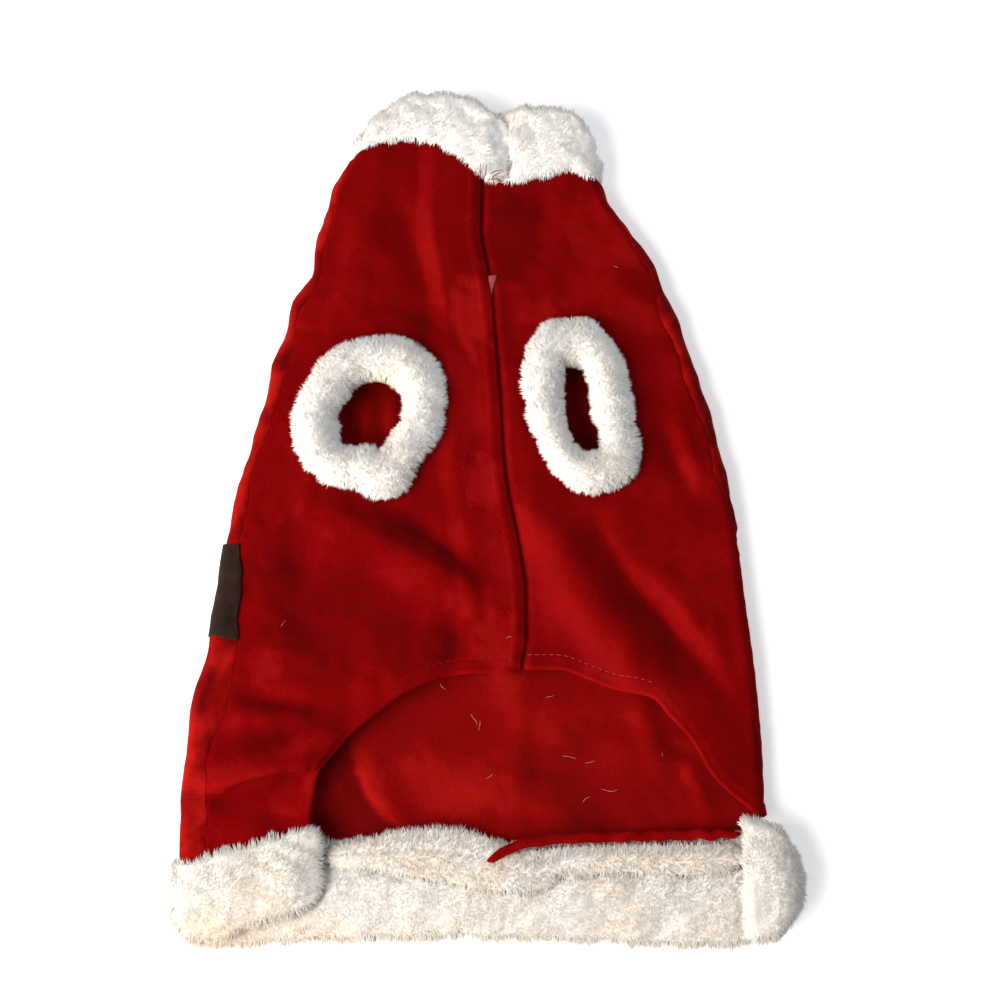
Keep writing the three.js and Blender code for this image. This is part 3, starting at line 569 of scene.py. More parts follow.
def upper_layer(x, y):
    """Height of the upper layer's middle: the section's top and the folds, which fade towards the
    coat's edges and on the stiff placket."""
    top, _, _, fold_left, fold_right = section(y)
    edge = np.minimum(x - fold_left, fold_right - x)
    from_placket = np.abs(x - OUTLINE["placket"](y) + UNDERLAP / 2)
    soft = 1 - PLACKET_STIFF * (1 - smooth(UNDERLAP * 0.4, UNDERLAP, from_placket))
    relief = path_relief(x, y, FOLDS) + unevenness(x, y)
    return top + relief * smooth(0, FOLD_FADE, edge) * soft


def left_lift(x, y):
    """The left panel rises over the right one, and its edge settles back towards it."""
    edge = OUTLINE["placket"](y)
    rise = LAYER_SHIFT * smooth(edge - UNDERLAP - 13, edge - UNDERLAP - 2, x)
    return rise - 1.6 * smooth(edge - 5, edge, x)


def right_lift(x, y):
    """The right panel sinks where the left one lies over it, and rises just past its edge."""
    edge = OUTLINE["placket"](y)
    return -LAYER_SHIFT * (1 - smooth(edge - 1.5, edge + 4.5, x))


def no_lift(x, y):
    """The lift where the layers don't overlap: none."""
    return 0 * x


def skin(across, y, lift=no_lift):
    """Points of the tube's middle surface at a distance round it, level on top, round a half circle
    at each fold and back underneath."""
    _, floor, radius, fold_left, fold_right = section(y)
    side = np.where(across > fold_right, 1.0, np.where(across < fold_left, -1.0, 0.0))
    start = np.where(side > 0, fold_right, fold_left)
    past = np.where(side == 0, 0, np.abs(across - start))
    angle = np.clip(past / radius, 0, np.pi)
    under = np.maximum(past - np.pi * radius, 0)
    flat_x = np.clip(across, fold_left, fold_right)
    x = np.where(side == 0, across, start + side * (radius * np.sin(angle) - under))
    z = np.where(side == 0, upper_layer(flat_x, y) + lift(flat_x, y), floor + radius * (1 + np.cos(angle)))
    return np.stack([x, y + 0 * x, z], -1)


def seam_across(side, inset, y):
    """Distance round the tube of a seam seen at a distance in from the edge, or turned under the
    edge by that distance where it is negative."""
    _, _, radius, fold_left, fold_right = section(y)
    start = np.where(side > 0, fold_right, fold_left)
    depth = inset - HALF
    turned = start + side * radius * np.arcsin(np.clip(1 - depth / radius, -1, 1))
    level = start - side * (depth - radius)
    under = start + side * (radius * np.pi * 0.5 - inset)
    waver = 0.45 * ripple(np.asarray(y)[..., None], 34, 11) + 0.2 * ripple(np.asarray(y)[..., None], 12, 12)
    return np.where(inset < 0, under, np.where(depth >= radius, level, turned)) + waver


def left_seam(y):
    """Distance round the tube of the left side seam."""
    return seam_across(-1, OUTLINE["left_seam"](y) - OUTLINE["left"](y), y)


def right_seam(y):
    """Distance round the tube of the right side seam."""
    return seam_across(1, OUTLINE["right_inset"](y), y)


SEAM_LAP = 0.4  # how far the two cloths of a seam run into each other


def left_panel_side(y):
    """The left panel's side line."""
    return left_seam(y) - SEAM_LAP


def right_panel_side(y):
    """The right panel's side line."""
    return right_seam(y) + SEAM_LAP


# Meshes


def put_mesh(name, points, faces, material, colours=None, normals=None):
    """Makes an object from points in millimetres and a list of arrays of faces. colours are named
    arrays of one value a point, kept as attributes."""
    mesh = bpy.data.meshes.new(name)
    corners = np.concatenate([f.ravel() for f in faces])
    sizes = np.concatenate([np.full(len(f), f.shape[1]) for f in faces])
    mesh.vertices.add(len(points))
    mesh.vertices.foreach_set("co", ((points - CENTRE) * MM).astype(np.float32).ravel())
    mesh.loops.add(len(corners))
    mesh.loops.foreach_set("vertex_index", corners.astype(np.int32))
    mesh.polygons.add(len(sizes))
    starts = np.concatenate([[0], np.cumsum(sizes)[:-1]])
    mesh.polygons.foreach_set("loop_start", starts.astype(np.int32))
    mesh.update(calc_edges=True)
    mesh.shade_smooth()
    for key, values in (colours or {}).items():
        layer = mesh.attributes.new(key, "FLOAT", "POINT")
        layer.data.foreach_set("value", np.asarray(values, np.float32).ravel())
    if normals is not None:
        mesh.normals_split_custom_set_from_vertices(normals)
    mesh.materials.append(material)
    obj = bpy.data.objects.new(name, mesh)
    bpy.context.scene.collection.objects.link(obj)
    return obj


def grid_faces(rows, cols, closed_rows=False, closed_cols=False):
    """Quads of a grid whose points are counted along its rows, as i, i + 1 in a row and the next."""
    r = np.arange(rows if closed_rows else rows - 1)[:, None]
    c = np.arange(cols if closed_cols else cols - 1)[None, :]
    r2, c2 = (r + 1) % rows, (c + 1) % cols
    quads = np.stack(np.broadcast_arrays(r * cols + c, r2 * cols + c, r2 * cols + c2, r * cols + c2), -1)
    return quads.reshape(-1, 4)


def grid_normals(points):
    """Unit normals of a grid: the cross product of its two differences."""
    along = np.gradient(points, axis=1)
    down = np.gradient(points, axis=0)
    return unit(np.cross(down, along))


def cloth_shell(name, middle, above, below, material, colours, keep=None, flip=False):
    """A cloth wall: a grid of middle points moved out by one array of distances and in by another.
    Both meet on the outer edge, where the distances are zero, and a rim closes each hole's edge."""
    rows, cols = middle.shape[:2]
    normals = grid_normals(middle) * (-1 if flip else 1)
    outer = (middle + normals * above[..., None]).reshape(-1, 3)
    inner = (middle - normals * below[..., None]).reshape(-1, 3)
    quads = grid_faces(rows, cols)
    if keep is not None:
        quads = quads[keep.reshape(-1)]
    if flip:
        quads = quads[:, ::-1]
    edges = np.concatenate([quads[:, [i, (i + 1) % 4]] for i in range(4)])
    size = rows * cols
    codes = edges[:, 0] * size + edges[:, 1]
    twins = edges[:, 1] * size + edges[:, 0]
    rim = edges[~np.isin(codes, twins)]
    open_rim = np.linalg.norm(outer[rim[:, 0]] - inner[rim[:, 0]], axis=1) > 1e-6
    rim = rim[open_rim]
    rim_quads = np.stack([rim[:, 1], rim[:, 0], rim[:, 0] + size, rim[:, 1] + size], -1)
    faces = np.concatenate([quads, quads[:, ::-1] + size, rim_quads])
    # Points on the closed outer edge are shared by both sides
    same = np.linalg.norm(outer - inner, axis=1) < 1e-6
    target = np.arange(2 * size)
    target[size:][same] = np.arange(size)[same]
    faces = target[faces]
    used = np.unique(faces)
    renumber = np.zeros(2 * size, int)
    renumber[used] = np.arange(len(used))
    points = np.concatenate([outer, inner])[used]
    points[:, 2] = np.maximum(points[:, 2], FLOOR_MARGIN)
    values = {key: np.tile(np.asarray(v).ravel(), 2)[used] for key, v in colours.items()}
    return put_mesh(name, points, [renumber[faces]], material, values)


# Rows close together at an edge, for its rounding and its stitched line, in millimetres from it
NEAR_SEAM = np.array([0, 0.06, 0.22, 0.48, 0.8, 1.3, 2.0, 3.0, 4.2, 5.6])
NEAR_EDGE = np.concatenate([NEAR_SEAM[:-1], [5.4, 6.2, 6.7, 7.1, 7.5, 8.0, 9.0, 10.4, 12.0]])


def recipe(near_start, near_end, count):
    """Shares and offsets of a line of points, close together beside both ends and even between."""
    t = np.linspace(0, 1, count)[1:-1]
    share = np.concatenate([np.zeros(len(near_start)), t, np.ones(len(near_end))])
    middle = near_start[-1] * (1 - t) - near_end[-1] * t
    offset = np.concatenate([near_start, middle, -near_end[::-1]])
    return share, offset


def rounded_half(distance):
    """Half the cloth's thickness beside an edge: a quarter circle up to HALF."""
    t = 1 - np.clip(distance / HALF, 0, 1)
    return HALF * np.sqrt(np.maximum(1 - t * t, 0))


def welt(distance):
    """How much a hem that is turned under and stitched adds: a bead along its edge and a soft rise
    that ends in the groove of its stitches."""
    rise = 0.45 * (1 - smooth(5.0, 9.0, distance))
    groove = 0.25 * np.exp(-(((distance - 7.1) / 0.6) ** 2))
    bead = 0.35 * np.exp(-(((distance - 1.3) / 0.9) ** 2))
    return rise - groove + bead


def seam_dip(distance):
    """How much the cloth sinks beside a sewn seam."""
    return 0.5 * np.exp(-((distance / 1.6) ** 2))


class Panel:
    """A belly panel: two side lines, as distances round the tube at a height Y, and a neck and a
    hem curve over the share of the way between them."""

    def __init__(self, low, high, neck, hem, lift, near_low, near_high):
        self.low, self.high, self.lift = low, high, lift
        share, offset = recipe(near_low, near_high, PANEL_COLUMNS)
        neck_curve, hem_curve = self.edge_curve(neck), self.edge_curve(hem)
        top, bottom = self.meet(neck_curve, share, offset), self.meet(hem_curve, share, offset)
        down, shift = recipe(NEAR_SEAM, NEAR_EDGE, PANEL_ROWS)
        self.y = mix(top[None, :], bottom[None, :], down[:, None]) - shift[:, None]
        width = high(self.y) - low(self.y)
        self.across = low(self.y) + width * share[None, :] + offset[None, :]
        neck_row, hem_row = (np.stack([self.across[i], self.y[i]], -1) for i in (0, -1))
        self.from_neck = path_distance(self.across, self.y, neck_row)
        self.from_hem = path_distance(self.across, self.y, hem_row)
        self.cut = None
        self.from_low = self.across - low(self.y)
        self.from_high = high(self.y) - self.across

    def edge_curve(self, table):
        """Y of an edge over the share of the way between the side lines."""
        low, high = self.low(table["y"]), self.high(table["y"])
        share = (table["x"] - low) / (high - low)
        return follow({"share": share, "y": table["y"]}, "share", "y")

    def meet(self, edge, share, offset):
        """Y where each column meets an edge, found by going to and fro between the two."""
        y = np.full(share.shape, float(edge(np.array(0.5))))
        for _ in range(12):
            y = 0.5 * y + 0.5 * edge(share + offset / (self.high(y) - self.low(y)))
        return y


def sampled(start, end, count, at):
    """A table of a function's values at even steps of X."""
    x = np.linspace(start, end, count)
    return {"x": x, "y": at(x)}


def smoothed(table, count=60):
    """The table's curve resampled along a spline through its rows."""
    points = open_spline(np.stack([table["x"], table["y"]], -1), count)
    return {"x": points[:, 0], "y": points[:, 1]}


def joined(*tables):
    """One table of the rows of several."""
    return {key: np.concatenate([table[key] for table in tables]) for key in tables[0]}


def inside(x, y, polygon):
    """Tells which places lie in a polygon: an upright line from each crosses its edges an odd
    number of times."""
    hit = np.zeros(np.shape(x), bool)
    for (x1, y1), (x2, y2) in zip(polygon, np.roll(polygon, -1, axis=0)):
        crosses = (y1 > y) != (y2 > y)
        at = (x2 - x1) * (y - y1) / (y2 - y1 if y2 != y1 else 1e-9) + x1
        hit ^= crosses & (x < at)
    return hit


def cuff_edges(table, count):
    """The inner and outer edge of a leg band, as closed curves through its points."""
    return (closed_spline(np.stack([table[e + "_x"], table[e + "_y"]], -1), count) for e in ("in", "out"))


def hole_outline(table):
    """A leg hole's cut: its band's inner edge moved out towards the outer one."""
    inner, outer = cuff_edges(table, 120)
    return inner + unit(outer - inner) * HOLE_EDGE


def cut_hole(x, y, outline):
    """Moves the grid's points beside a hole onto its outline. Returns the new X and Y and which
    quads stay."""
    centre_x, centre_y = ((v[:-1, :-1] + v[1:, :-1] + v[1:, 1:] + v[:-1, 1:]) / 4 for v in (x, y))
    keep = ~inside(centre_x, centre_y, outline)
    padded_keep = np.pad(keep, 1, constant_values=True)
    before, after = slice(None, -1), slice(1, None)
    around = np.stack([padded_keep[a, b] for a in (before, after) for b in (before, after)])
    border = around.any(0) & ~around.all(0)
    places = np.stack([x[border], y[border]], -1)
    gaps = np.linalg.norm(places[:, None] - outline[None], axis=-1)
    x, y = x.copy(), y.copy()
    x[border], y[border] = outline[gaps.argmin(1)].T
    return x, y, keep


# Materials


def principled(name, **sockets):
    """A new material's tree and shader, with the given constants set on the shader's sockets."""
    material = bpy.data.materials.new(name)
    material.use_nodes = True
    tree = material.node_tree
    shader = next(node for node in tree.nodes if node.type == "BSDF_PRINCIPLED")
    for key, value in sockets.items():
        shader.inputs[key.replace("_", " ")].default_value = value
    return material, tree, shader


def node(tree, kind, **values):
    """A new node with the given settings."""
    made = tree.nodes.new(kind)
    for key, value in values.items():
        setattr(made, key, value)
    return made


def place(tree):
    """The place on the piece, in metres."""
    return node(tree, "ShaderNodeTexCoord").outputs["Object"]


def noise(tree, where, scale, detail, roughness):
    """Soft random patches, with that many of them in a metre."""
    made = node(tree, "ShaderNodeTexNoise")
    made.inputs["Scale"].default_value = scale
    made.inputs["Detail"].default_value = detail
    made.inputs["Roughness"].default_value = roughness
    tree.links.new(where, made.inputs["Vector"])
    return made.outputs["Fac"]


def math_node(tree, operation, a, b, clamp=False):
    """One step of arithmetic on sockets or numbers."""
    made = node(tree, "ShaderNodeMath", operation=operation, use_clamp=clamp)
    for socket, value in zip(made.inputs, (a, b)):
        if isinstance(value, (int, float)):
            socket.default_value = value
        else:
            tree.links.new(value, socket)
    return made.outputs[0]


def weighted(tree, offset, *terms):
    """The terms added up, each times its weight, and an offset, held between 0 and 1."""
    total = math_node(tree, "MULTIPLY", *terms[0])
    for term in terms[1:]:
        total = math_node(tree, "ADD", total, math_node(tree, "MULTIPLY", *term))
    return math_node(tree, "ADD", total, offset, clamp=True)


def colour_ramp(tree, factor, *stops):
    """A colour that goes through the stops, each a position and a colour."""
    made = node(tree, "ShaderNodeValToRGB")
    ramp = made.color_ramp
    while len(ramp.elements) < len(stops):
        ramp.elements.new(0.5)
    for element, (position, colour) in zip(ramp.elements, stops):
        element.position = position
        element.color = (*colour, 1)
    tree.links.new(factor, made.inputs["Fac"])
    return made.outputs["Color"]


def attribute(tree, name):
    """A value kept on the mesh's points."""
    return node(tree, "ShaderNodeAttribute", attribute_name=name).outputs["Fac"]


def bump(tree, height, strength, distance, below=None):
    """A normal tilted by a height's slopes, on top of another normal where one is given."""
    made = node(tree, "ShaderNodeBump")
    made.inputs["Strength"].default_value = strength
    made.inputs["Distance"].default_value = distance
    tree.links.new(height, made.inputs["Height"])
    if below is not None:
        tree.links.new(below, made.inputs["Normal"])
    return made.outputs["Normal"]


def velour(name, deep, middle, bright):
    """Short-pile velour: its pile lies in soft patches over a fine grain, with a red sheen on its slopes,
    and takes brushed patches and painted light and shade from the mesh's attribute."""
    material, tree, shader = principled(
        name,
        Roughness=0.92,
        Sheen_Weight=0.4,
        Sheen_Roughness=0.4,
        Sheen_Tint=(1.0, 0.0, 0.01, 1),
        Specular_IOR_Level=0.03,
    )
    where = place(tree)
    patches = noise(tree, where, 24, 2, 0.5)
    brushed = noise(tree, where, 190, 3, 0.65)
    grain = noise(tree, where, 1500, 2, 0.6)
    # The attribute holds brushed patches and painted light and shade.
    nap_with_painted_light = attribute(tree, "nap_with_painted_light")
    level = weighted(tree, 0.12, (patches, 0.2), (brushed, 0.25), (grain, 0.3), (nap_with_painted_light, 1.0))
    colour = colour_ramp(tree, level, (0.12, deep), (0.5, middle), (0.88, bright))
    tree.links.new(colour, shader.inputs["Base Color"])
    normal = bump(tree, noise(tree, where, 900, 3, 0.7), 0.5, 0.0006)
    normal = bump(tree, brushed, 0.35, 0.0012, normal)
    tree.links.new(normal, shader.inputs["Normal"])
    return material


def knit_back(name, deep, middle, bright):
    """The velour's wrong side: fine rows of knit across the coat over the same soft patches, with brushed
    patches, random tone and painted light and shade from the mesh's attribute.
    """
    material, tree, shader = principled(
        name,
        Roughness=0.85,
        Sheen_Weight=0.25,
        Sheen_Roughness=0.5,
        Sheen_Tint=(1.0, 0.03, 0.02, 1),
        Specular_IOR_Level=0.04,
    )
    where = place(tree)
    rows = node(tree, "ShaderNodeTexWave", bands_direction="Y")
    rows.inputs["Scale"].default_value = 330
    rows.inputs["Distortion"].default_value = 1.2
    rows.inputs["Detail"].default_value = 2
    rows.inputs["Detail Scale"].default_value = 1.5
    tree.links.new(where, rows.inputs["Vector"])
    patches = noise(tree, where, 20, 2, 0.5)
    fine = noise(tree, where, 420, 3, 0.7)
    # The attribute holds brushed patches, random tone and painted light and shade.
    nap_with_painted_light = attribute(tree, "nap_with_painted_light")
    level = weighted(tree, -0.04, (patches, 0.7), (fine, 0.3), (rows.outputs["Fac"], 0.08), (nap_with_painted_light, 1.0))
    colour = colour_ramp(tree, level, (0.15, deep), (0.5, middle), (0.85, bright))
    tree.links.new(colour, shader.inputs["Base Color"])
    normal = bump(tree, rows.outputs["Fac"], 0.35, 0.0004)
    normal = bump(tree, fine, 0.4, 0.0006, normal)
    tree.links.new(normal, shader.inputs["Normal"])
    return material


def fur(name, root, tip, cream):
    """White plush: each lock goes from its root's shade to its tip's, tinted in soft patches."""
    material, tree, shader = principled(
        name,
        Roughness=0.9,
        Sheen_Weight=0.35,
        Sheen_Roughness=0.5,
        Sheen_Tint=(1, 0.98, 0.96, 1),
        Specular_IOR_Level=0.15,
        Subsurface_Weight=0.1,
        Subsurface_Scale=0.005,
        Subsurface_Radius=(1.0, 0.9, 0.78),
    )
    where = place(tree)
    tree.links.new(bump(tree, noise(tree, where, 650, 3, 0.7), 0.2, 0.0006), shader.inputs["Normal"])
    colour = colour_ramp(tree, attribute(tree, "tip"), (0.0, root), (0.7, tip))
    tint = math_node(tree, "ADD", noise(tree, where, 70, 2, 0.5), attribute(tree, "tone"))
    tint = math_node(tree, "SUBTRACT", tint, 0.5, clamp=True)
    blend = node(tree, "ShaderNodeMix", data_type="RGBA", blend_type="MULTIPLY")
    tree.links.new(tint, blend.inputs[0])
    tree.links.new(colour, blend.inputs[6])
    blend.inputs[7].default_value = (*cream, 1)
    tree.links.new(blend.outputs[2], shader.inputs["Base Color"])
    return material


def strip_cloth(name, dark, light):
    """The belt's dense flat cloth: a fine twill over slight wear."""
    material, tree, shader = principled(name, Roughness=0.85, Specular_IOR_Level=0.12, Sheen_Weight=0.04)
    where = place(tree)
    twill = node(tree, "ShaderNodeTexWave", bands_direction="DIAGONAL")
    twill.inputs["Scale"].default_value = 420
    twill.inputs["Distortion"].default_value = 0.6
    tree.links.new(where, twill.inputs["Vector"])
    wear = noise(tree, where, 160, 3, 0.6)
    tree.links.new(colour_ramp(tree, wear, (0.3, dark), (0.8, light)), shader.inputs["Base Color"])
    normal = bump(tree, twill.outputs["Fac"], 0.3, 0.0003)
    tree.links.new(bump(tree, wear, 0.25, 0.0008, normal), shader.inputs["Normal"])
    return material


def thread(name, colour, light):
    """Sewing thread or loose fibre: twisted along its length."""
    material, tree, shader = principled(name, Roughness=0.7, Specular_IOR_Level=0.05)
    twist = noise(tree, place(tree), 3000, 1, 0.5)
    tree.links.new(colour_ramp(tree, twist, (0.35, colour), (0.7, light)), shader.inputs["Base Color"])
    tree.links.new(bump(tree, twist, 0.3, 0.0001), shader.inputs["Normal"])
    return material


def closure_tape(name):
    """Hook-and-loop tape: a dense field of small loops."""
    material, tree, shader = principled(name, Roughness=0.95, Specular_IOR_Level=0.1, Sheen_Weight=0.3)
    loops = node(tree, "ShaderNodeTexVoronoi")
    loops.inputs["Scale"].default_value = 1600
    tree.links.new(place(tree), loops.inputs["Vector"])
    depth = loops.outputs["Distance"]
    colour = colour_ramp(tree, depth, (0.1, (0.3, 0.02, 0.03)), (0.7, (0.12, 0.004, 0.008)))
    tree.links.new(colour, shader.inputs["Base Color"])
    tree.links.new(bump(tree, depth, 0.6, 0.0005), shader.inputs["Normal"])
    return material


# Every material: the function that makes it, and its colours from dark or root to light
FINISHES = {
    "red_velour": (velour, (0.07, 0.0001, 0.0008), (0.152, 0.0002, 0.0006), (0.26, 0.003, 0.003)),
    "red_wrong_side": (knit_back, (0.09, 0.0001, 0.0005), (0.19, 0.0006, 0.0008), (0.31, 0.005, 0.003)),
    "white_fur": (fur, (0.88, 0.865, 0.84), (0.93, 0.92, 0.9), (1.0, 0.88, 0.72)),
    # The hem band's and facing's fur is the white plush painted darker, as painted shade.
    "hem_fur_painted_darker": (fur, (0.7, 0.675, 0.64), (0.745, 0.725, 0.695), (1.0, 0.88, 0.74)),
    "belt_cloth": (strip_cloth, (0.011, 0.0045, 0.003), (0.027, 0.011, 0.007)),
    "closure_tape": (closure_tape,),
    "red_thread": (thread, (0.16, 0.002, 0.003), (0.34, 0.012, 0.012)),
    "pale_thread": (thread, (0.24, 0.02, 0.02), (0.42, 0.1, 0.09)),
    "white_lint": (thread, (0.45, 0.2, 0.18), (0.75, 0.5, 0.46)),
}
MADE = {}


def finish_of(name):
    """Makes a material the first time that it is asked for."""
    if name not in MADE:
        make, *colours = FINISHES[name]
        MADE[name] = make(name, *colours)
    return MADE[name]


# Cloth pieces

# Patches where the pile is brushed lighter or darker, and in the leg holes painted shade with narrow painted
# highlights on fold crests: centre, half sizes, turn in degrees, how much
NAP_AND_PAINTED_SHADE_PATCHES = columns(
    "x y wide tall turn amount",
    (-8, 96, 12, 22, 3, 0.28),
    (-2, 6, 10, 16, -4, 0.2),
    (4, -74, 12, 15, 4, 0.2),
    (12, 138, 15, 27, 0, -0.2),
    (60, 140, 22, 26, 10, 0.13),
    (24, 96, 14, 7, 5, 0.2),
    (78, 92, 18, 9, -20, 0.15),
    (-50, 92, 32, 12, 0, -0.1),
    (-82, 94, 22, 11, -10, 0.17),
    (-108, -84, 10, 9, 10, 0.16),
    (-88, -124, 16, 5, 14, 0.16),
    (-90, -148, 18, 8, 10, 0.14),
    (100, 8, 12, 14, -30, 0.1),
    (106, -40, 12, 22, -10, 0.08),
    (-14, 50, 10, 30, 0, 0.1),
    (-38, -56, 28, 9, -32, 0.06),
    (-17, -70, 9, 14, 0, -0.12),
    (70, -60, 12, 40, 38, -0.08),
    (-68, -48, 54, 40, -15, -0.13),
    (-97, -122, 22, 14, 0, -0.08),
    (60, -136, 36, 26, 0, -0.14),
    (112, -126, 18, 26, 0, -0.12),
    (-98, -4, 10, 34, -4, 0.08),
    # Painted shade on the back cloth seen in the left leg hole, with two narrow painted highlights on fold
    # crests, and painted shade in the right leg hole
    (-58, 42, 17, 18, 0, -0.16),
    (-51, 42, 3, 18, 3, 0.14),
    (-63, 42, 2.5, 18, -4, 0.1),
    (46, 44, 7, 20, 0, -0.16),
    (3, 20, 9, 100, 6, 0.1),
    (-26, -140, 36, 17, 0, 0.13),
)


def nap_and_painted_shade_at(x, y):
    """The brushed patches and the painted shade patches added up, each a soft-edged ellipse."""
    total = 0.035 * ripple(np.stack([x, y], -1), 30, 21)
    for px, py, wide, tall, turn, amount in zip(*NAP_AND_PAINTED_SHADE_PATCHES.values()):
        c, s = math.cos(math.radians(turn)), math.sin(math.radians(turn))
        u = ((x - px) * c + (y - py) * s) / wide
        v = ((y - py) * c - (x - px) * s) / tall
        edge = np.hypot(u, v) + 0.12 * ripple(np.stack([x, y], -1), 9, 22)
        total = total + amount * (1 - smooth(0.7, 1.15, edge))
    return total


def painted_light_of_slope(normals):
    """Painted light and shade by slope: slopes that face the key light at the lower left are painted
    lighter, and slopes that face away are painted darker.
    """
    return np.clip(-0.4 * normals[..., 0] - 0.24 * normals[..., 1], -0.2, 0.16)


# The line of the tuck low on the left panel
PLEAT = ((-141, -149), (-128, -144), (-113, -138), (-96, -133.5), (-79, -132), (-66, -130))


def pleat(x, y):
    """The tuck low on the left panel: cloth above its line slides down over the cloth below it and
    bulges, as far as a step across the line allows, and settles back further up."""
    line = open_spline(PLEAT, 40)
    away = path_distance(x, y, line)
    above = y > np.interp(x, line[:, 0], line[:, 1])
    side = np.where(above, away, -away)
    fade = smooth(-139, -120, x) * (1 - smooth(-62, -55, x))
    lap = smooth(-0.5, 1.3, side) * (1 - smooth(3, 24, side)) * fade
    sink = (1 - smooth(-0.5, 1.3, side)) * np.exp(-((side / 6) ** 2)) * fade
    return np.stack([1.2 * lap, -3.8 * lap, 2.4 * lap - 1.7 * sink], -1)


def declare(obj, cad_nodes):
    """Attaches a piece to the root body and hides the model's parts that it stands in for."""
    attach(obj, "root")
    if cad_nodes:
        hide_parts(*cad_nodes)
    return obj


BAND_TOP = [follow(edges, "x", "top") for edges in BAND_EDGES]
COLLAR_LOW = [follow(edges, "x", "low") for edges in COLLAR_EDGES]
UNDER_FUR = 1.2  # how far a panel runs in under the fur's tips


# The left arch's steep corner, along which the panel's grid is cut
ARCH_CORNER = (
    (-58, -111.8),
    (-66, -118.9),
    (-74, -127.6),
    (-79.5, -134),
    (-81.5, -141),
    (-83, -152),
    (-84, -172),
)


def left_panel():
    """The left panel. Where its arch turns down steeply the grid's hem line runs on at a slant,
    and the cloth past the true edge is cut off afterwards."""
    neck = sampled(-72, -4.6, 13, lambda x: COLLAR_LOW[0](x) + UNDER_FUR)
    arch = {key: values[:7] for key, values in LEFT_ARCH.items()}
    slant = columns("x y", (-76, -139), (-88, -163.5))
    hem = joined(arch, slant, sampled(-92, -130, 8, lambda x: BAND_TOP[0](x) - UNDER_FUR))
    panel = Panel(left_panel_side, OUTLINE["placket"], neck, hem, left_lift, NEAR_SEAM, NEAR_EDGE)
    edge = open_spline(ARCH_CORNER, 120)
    from_corner = path_distance(panel.across, panel.y, edge)
    slanted = (panel.across[-1] < -64)[None, :]
    panel.from_hem = np.where(slanted, from_corner, np.minimum(panel.from_hem, from_corner))
    panel.cut = np.concatenate([edge, [[-40, -172], [-40, -111.8]]])
    return panel


def right_panel():
    """The right panel, from its free edge under the placket to the right side seam."""
    neck = sampled(-18, 54, 15, lambda x: COLLAR_LOW[2](x) + UNDER_FUR + 4 * (1 - smooth(6, 14, x)))

    def free_edge(y):
        return OUTLINE["placket"](y) - UNDERLAP

    return Panel(free_edge, right_panel_side, neck, smoothed(RIGHT_ARCH), right_lift, NEAR_EDGE, NEAR_SEAM)


def build_belly(name, panel, cuff, laps):
    """A belly panel's shell: its middle surface, sunk at the sewn side, thicker along the stitched
    hem, with the leg hole cut out. The one that laps over the other is sewn at its low side, has a
    stitched placket at its high side, and the pleat."""
    x, y, keep = cut_hole(panel.across, panel.y, hole_outline(cuff))
    if panel.cut is not None:
        x, y, kept = cut_hole(x, y, panel.cut)
        keep = keep & kept
    middle = skin(x, y, panel.lift)
    if laps:
        middle = middle + pleat(x, y) * smooth(0, 7, panel.from_hem)[..., None]
    edge = np.minimum.reduce([panel.from_neck, panel.from_hem, panel.from_low, panel.from_high])
    edge = np.maximum(edge, 0)
    half = rounded_half(edge)
    sewn = panel.from_low if laps else panel.from_high
    pucker = 0.28 * ripple(y[..., None], 9, 31) * np.exp(-np.maximum(sewn, 0) / 4)
    turned = np.minimum(panel.from_hem, panel.from_high) if laps else panel.from_hem
    above = half * (1 + pucker) + welt(turned) * smooth(0, 1.1, edge)
    normals = grid_normals(middle)
    middle = middle - normals * seam_dip(sewn)[..., None]
    relief = path_relief(x, y, FOLDS)
    # Painted highlight along the turned hem's rolled edge and its welt, fainter on the panel that laps over.
    painted_hem_highlight = 0.2 * np.exp(-((panel.from_hem / 1.3) ** 2)) + 0.06 * (1 - smooth(5.4, 8.2, panel.from_hem))
    # Painted light and shade: lighter on slopes facing the key light, painted shade in the folds' troughs
    # and painted highlights on their ridges.
    nap_with_painted_light = nap_and_painted_shade_at(middle[..., 0], middle[..., 1]) + painted_light_of_slope(normals)
    nap_with_painted_light = nap_with_painted_light + np.clip(0.045 * relief, -0.12, 0.1) + painted_hem_highlight * (0.35 if laps else 1.0)
    return cloth_shell(name, middle, above, half, finish_of("red_velour"), {"nap_with_painted_light": nap_with_painted_light}, keep)


def side_lumps(across, y, distance):
    """How far the back panel stands out beside a side seam: the seam draws it into puckers, and
    soft lumps run along it."""
    pucker = 0.5 * ripple(np.stack([y, 0.5 * across], -1), 12, 51)
    pucker = pucker * np.exp(-distance / 9) * smooth(0, 2, distance)
    lump = 0.8 * ripple(np.stack([y, 0.3 * across], -1), 29, 52)
    lump = lump * smooth(1, 7, distance) * np.exp(-distance / 22)
    return pucker + lump - seam_dip(distance)


# The fold line inside the arch at its lower left
WEDGE = ((-66, -118), (-65.5, -128.7), (-61.4, -140), (-56.4, -149.5), (-44, -160), (-25, -167))


def wedge(x, y):
    """How much of the back panel's cloth inside the arch is drawn in at its lower left, and painted in
    shadow, to the left of a sharp fold line: 1 beside the line, less further away."""
    line = open_spline(WEDGE, 40)
    away = path_distance(x, y, line)
    edge_x = np.interp(-y, -line[:, 1], line[:, 0])
    beside = (x < edge_x) & (y < line[0, 1])
    signed = np.where(beside, away, -away)
    return smooth(-0.6, 0.6, signed) * np.exp(-np.maximum(signed, 0) / 26) * smooth(-116, -124, y)


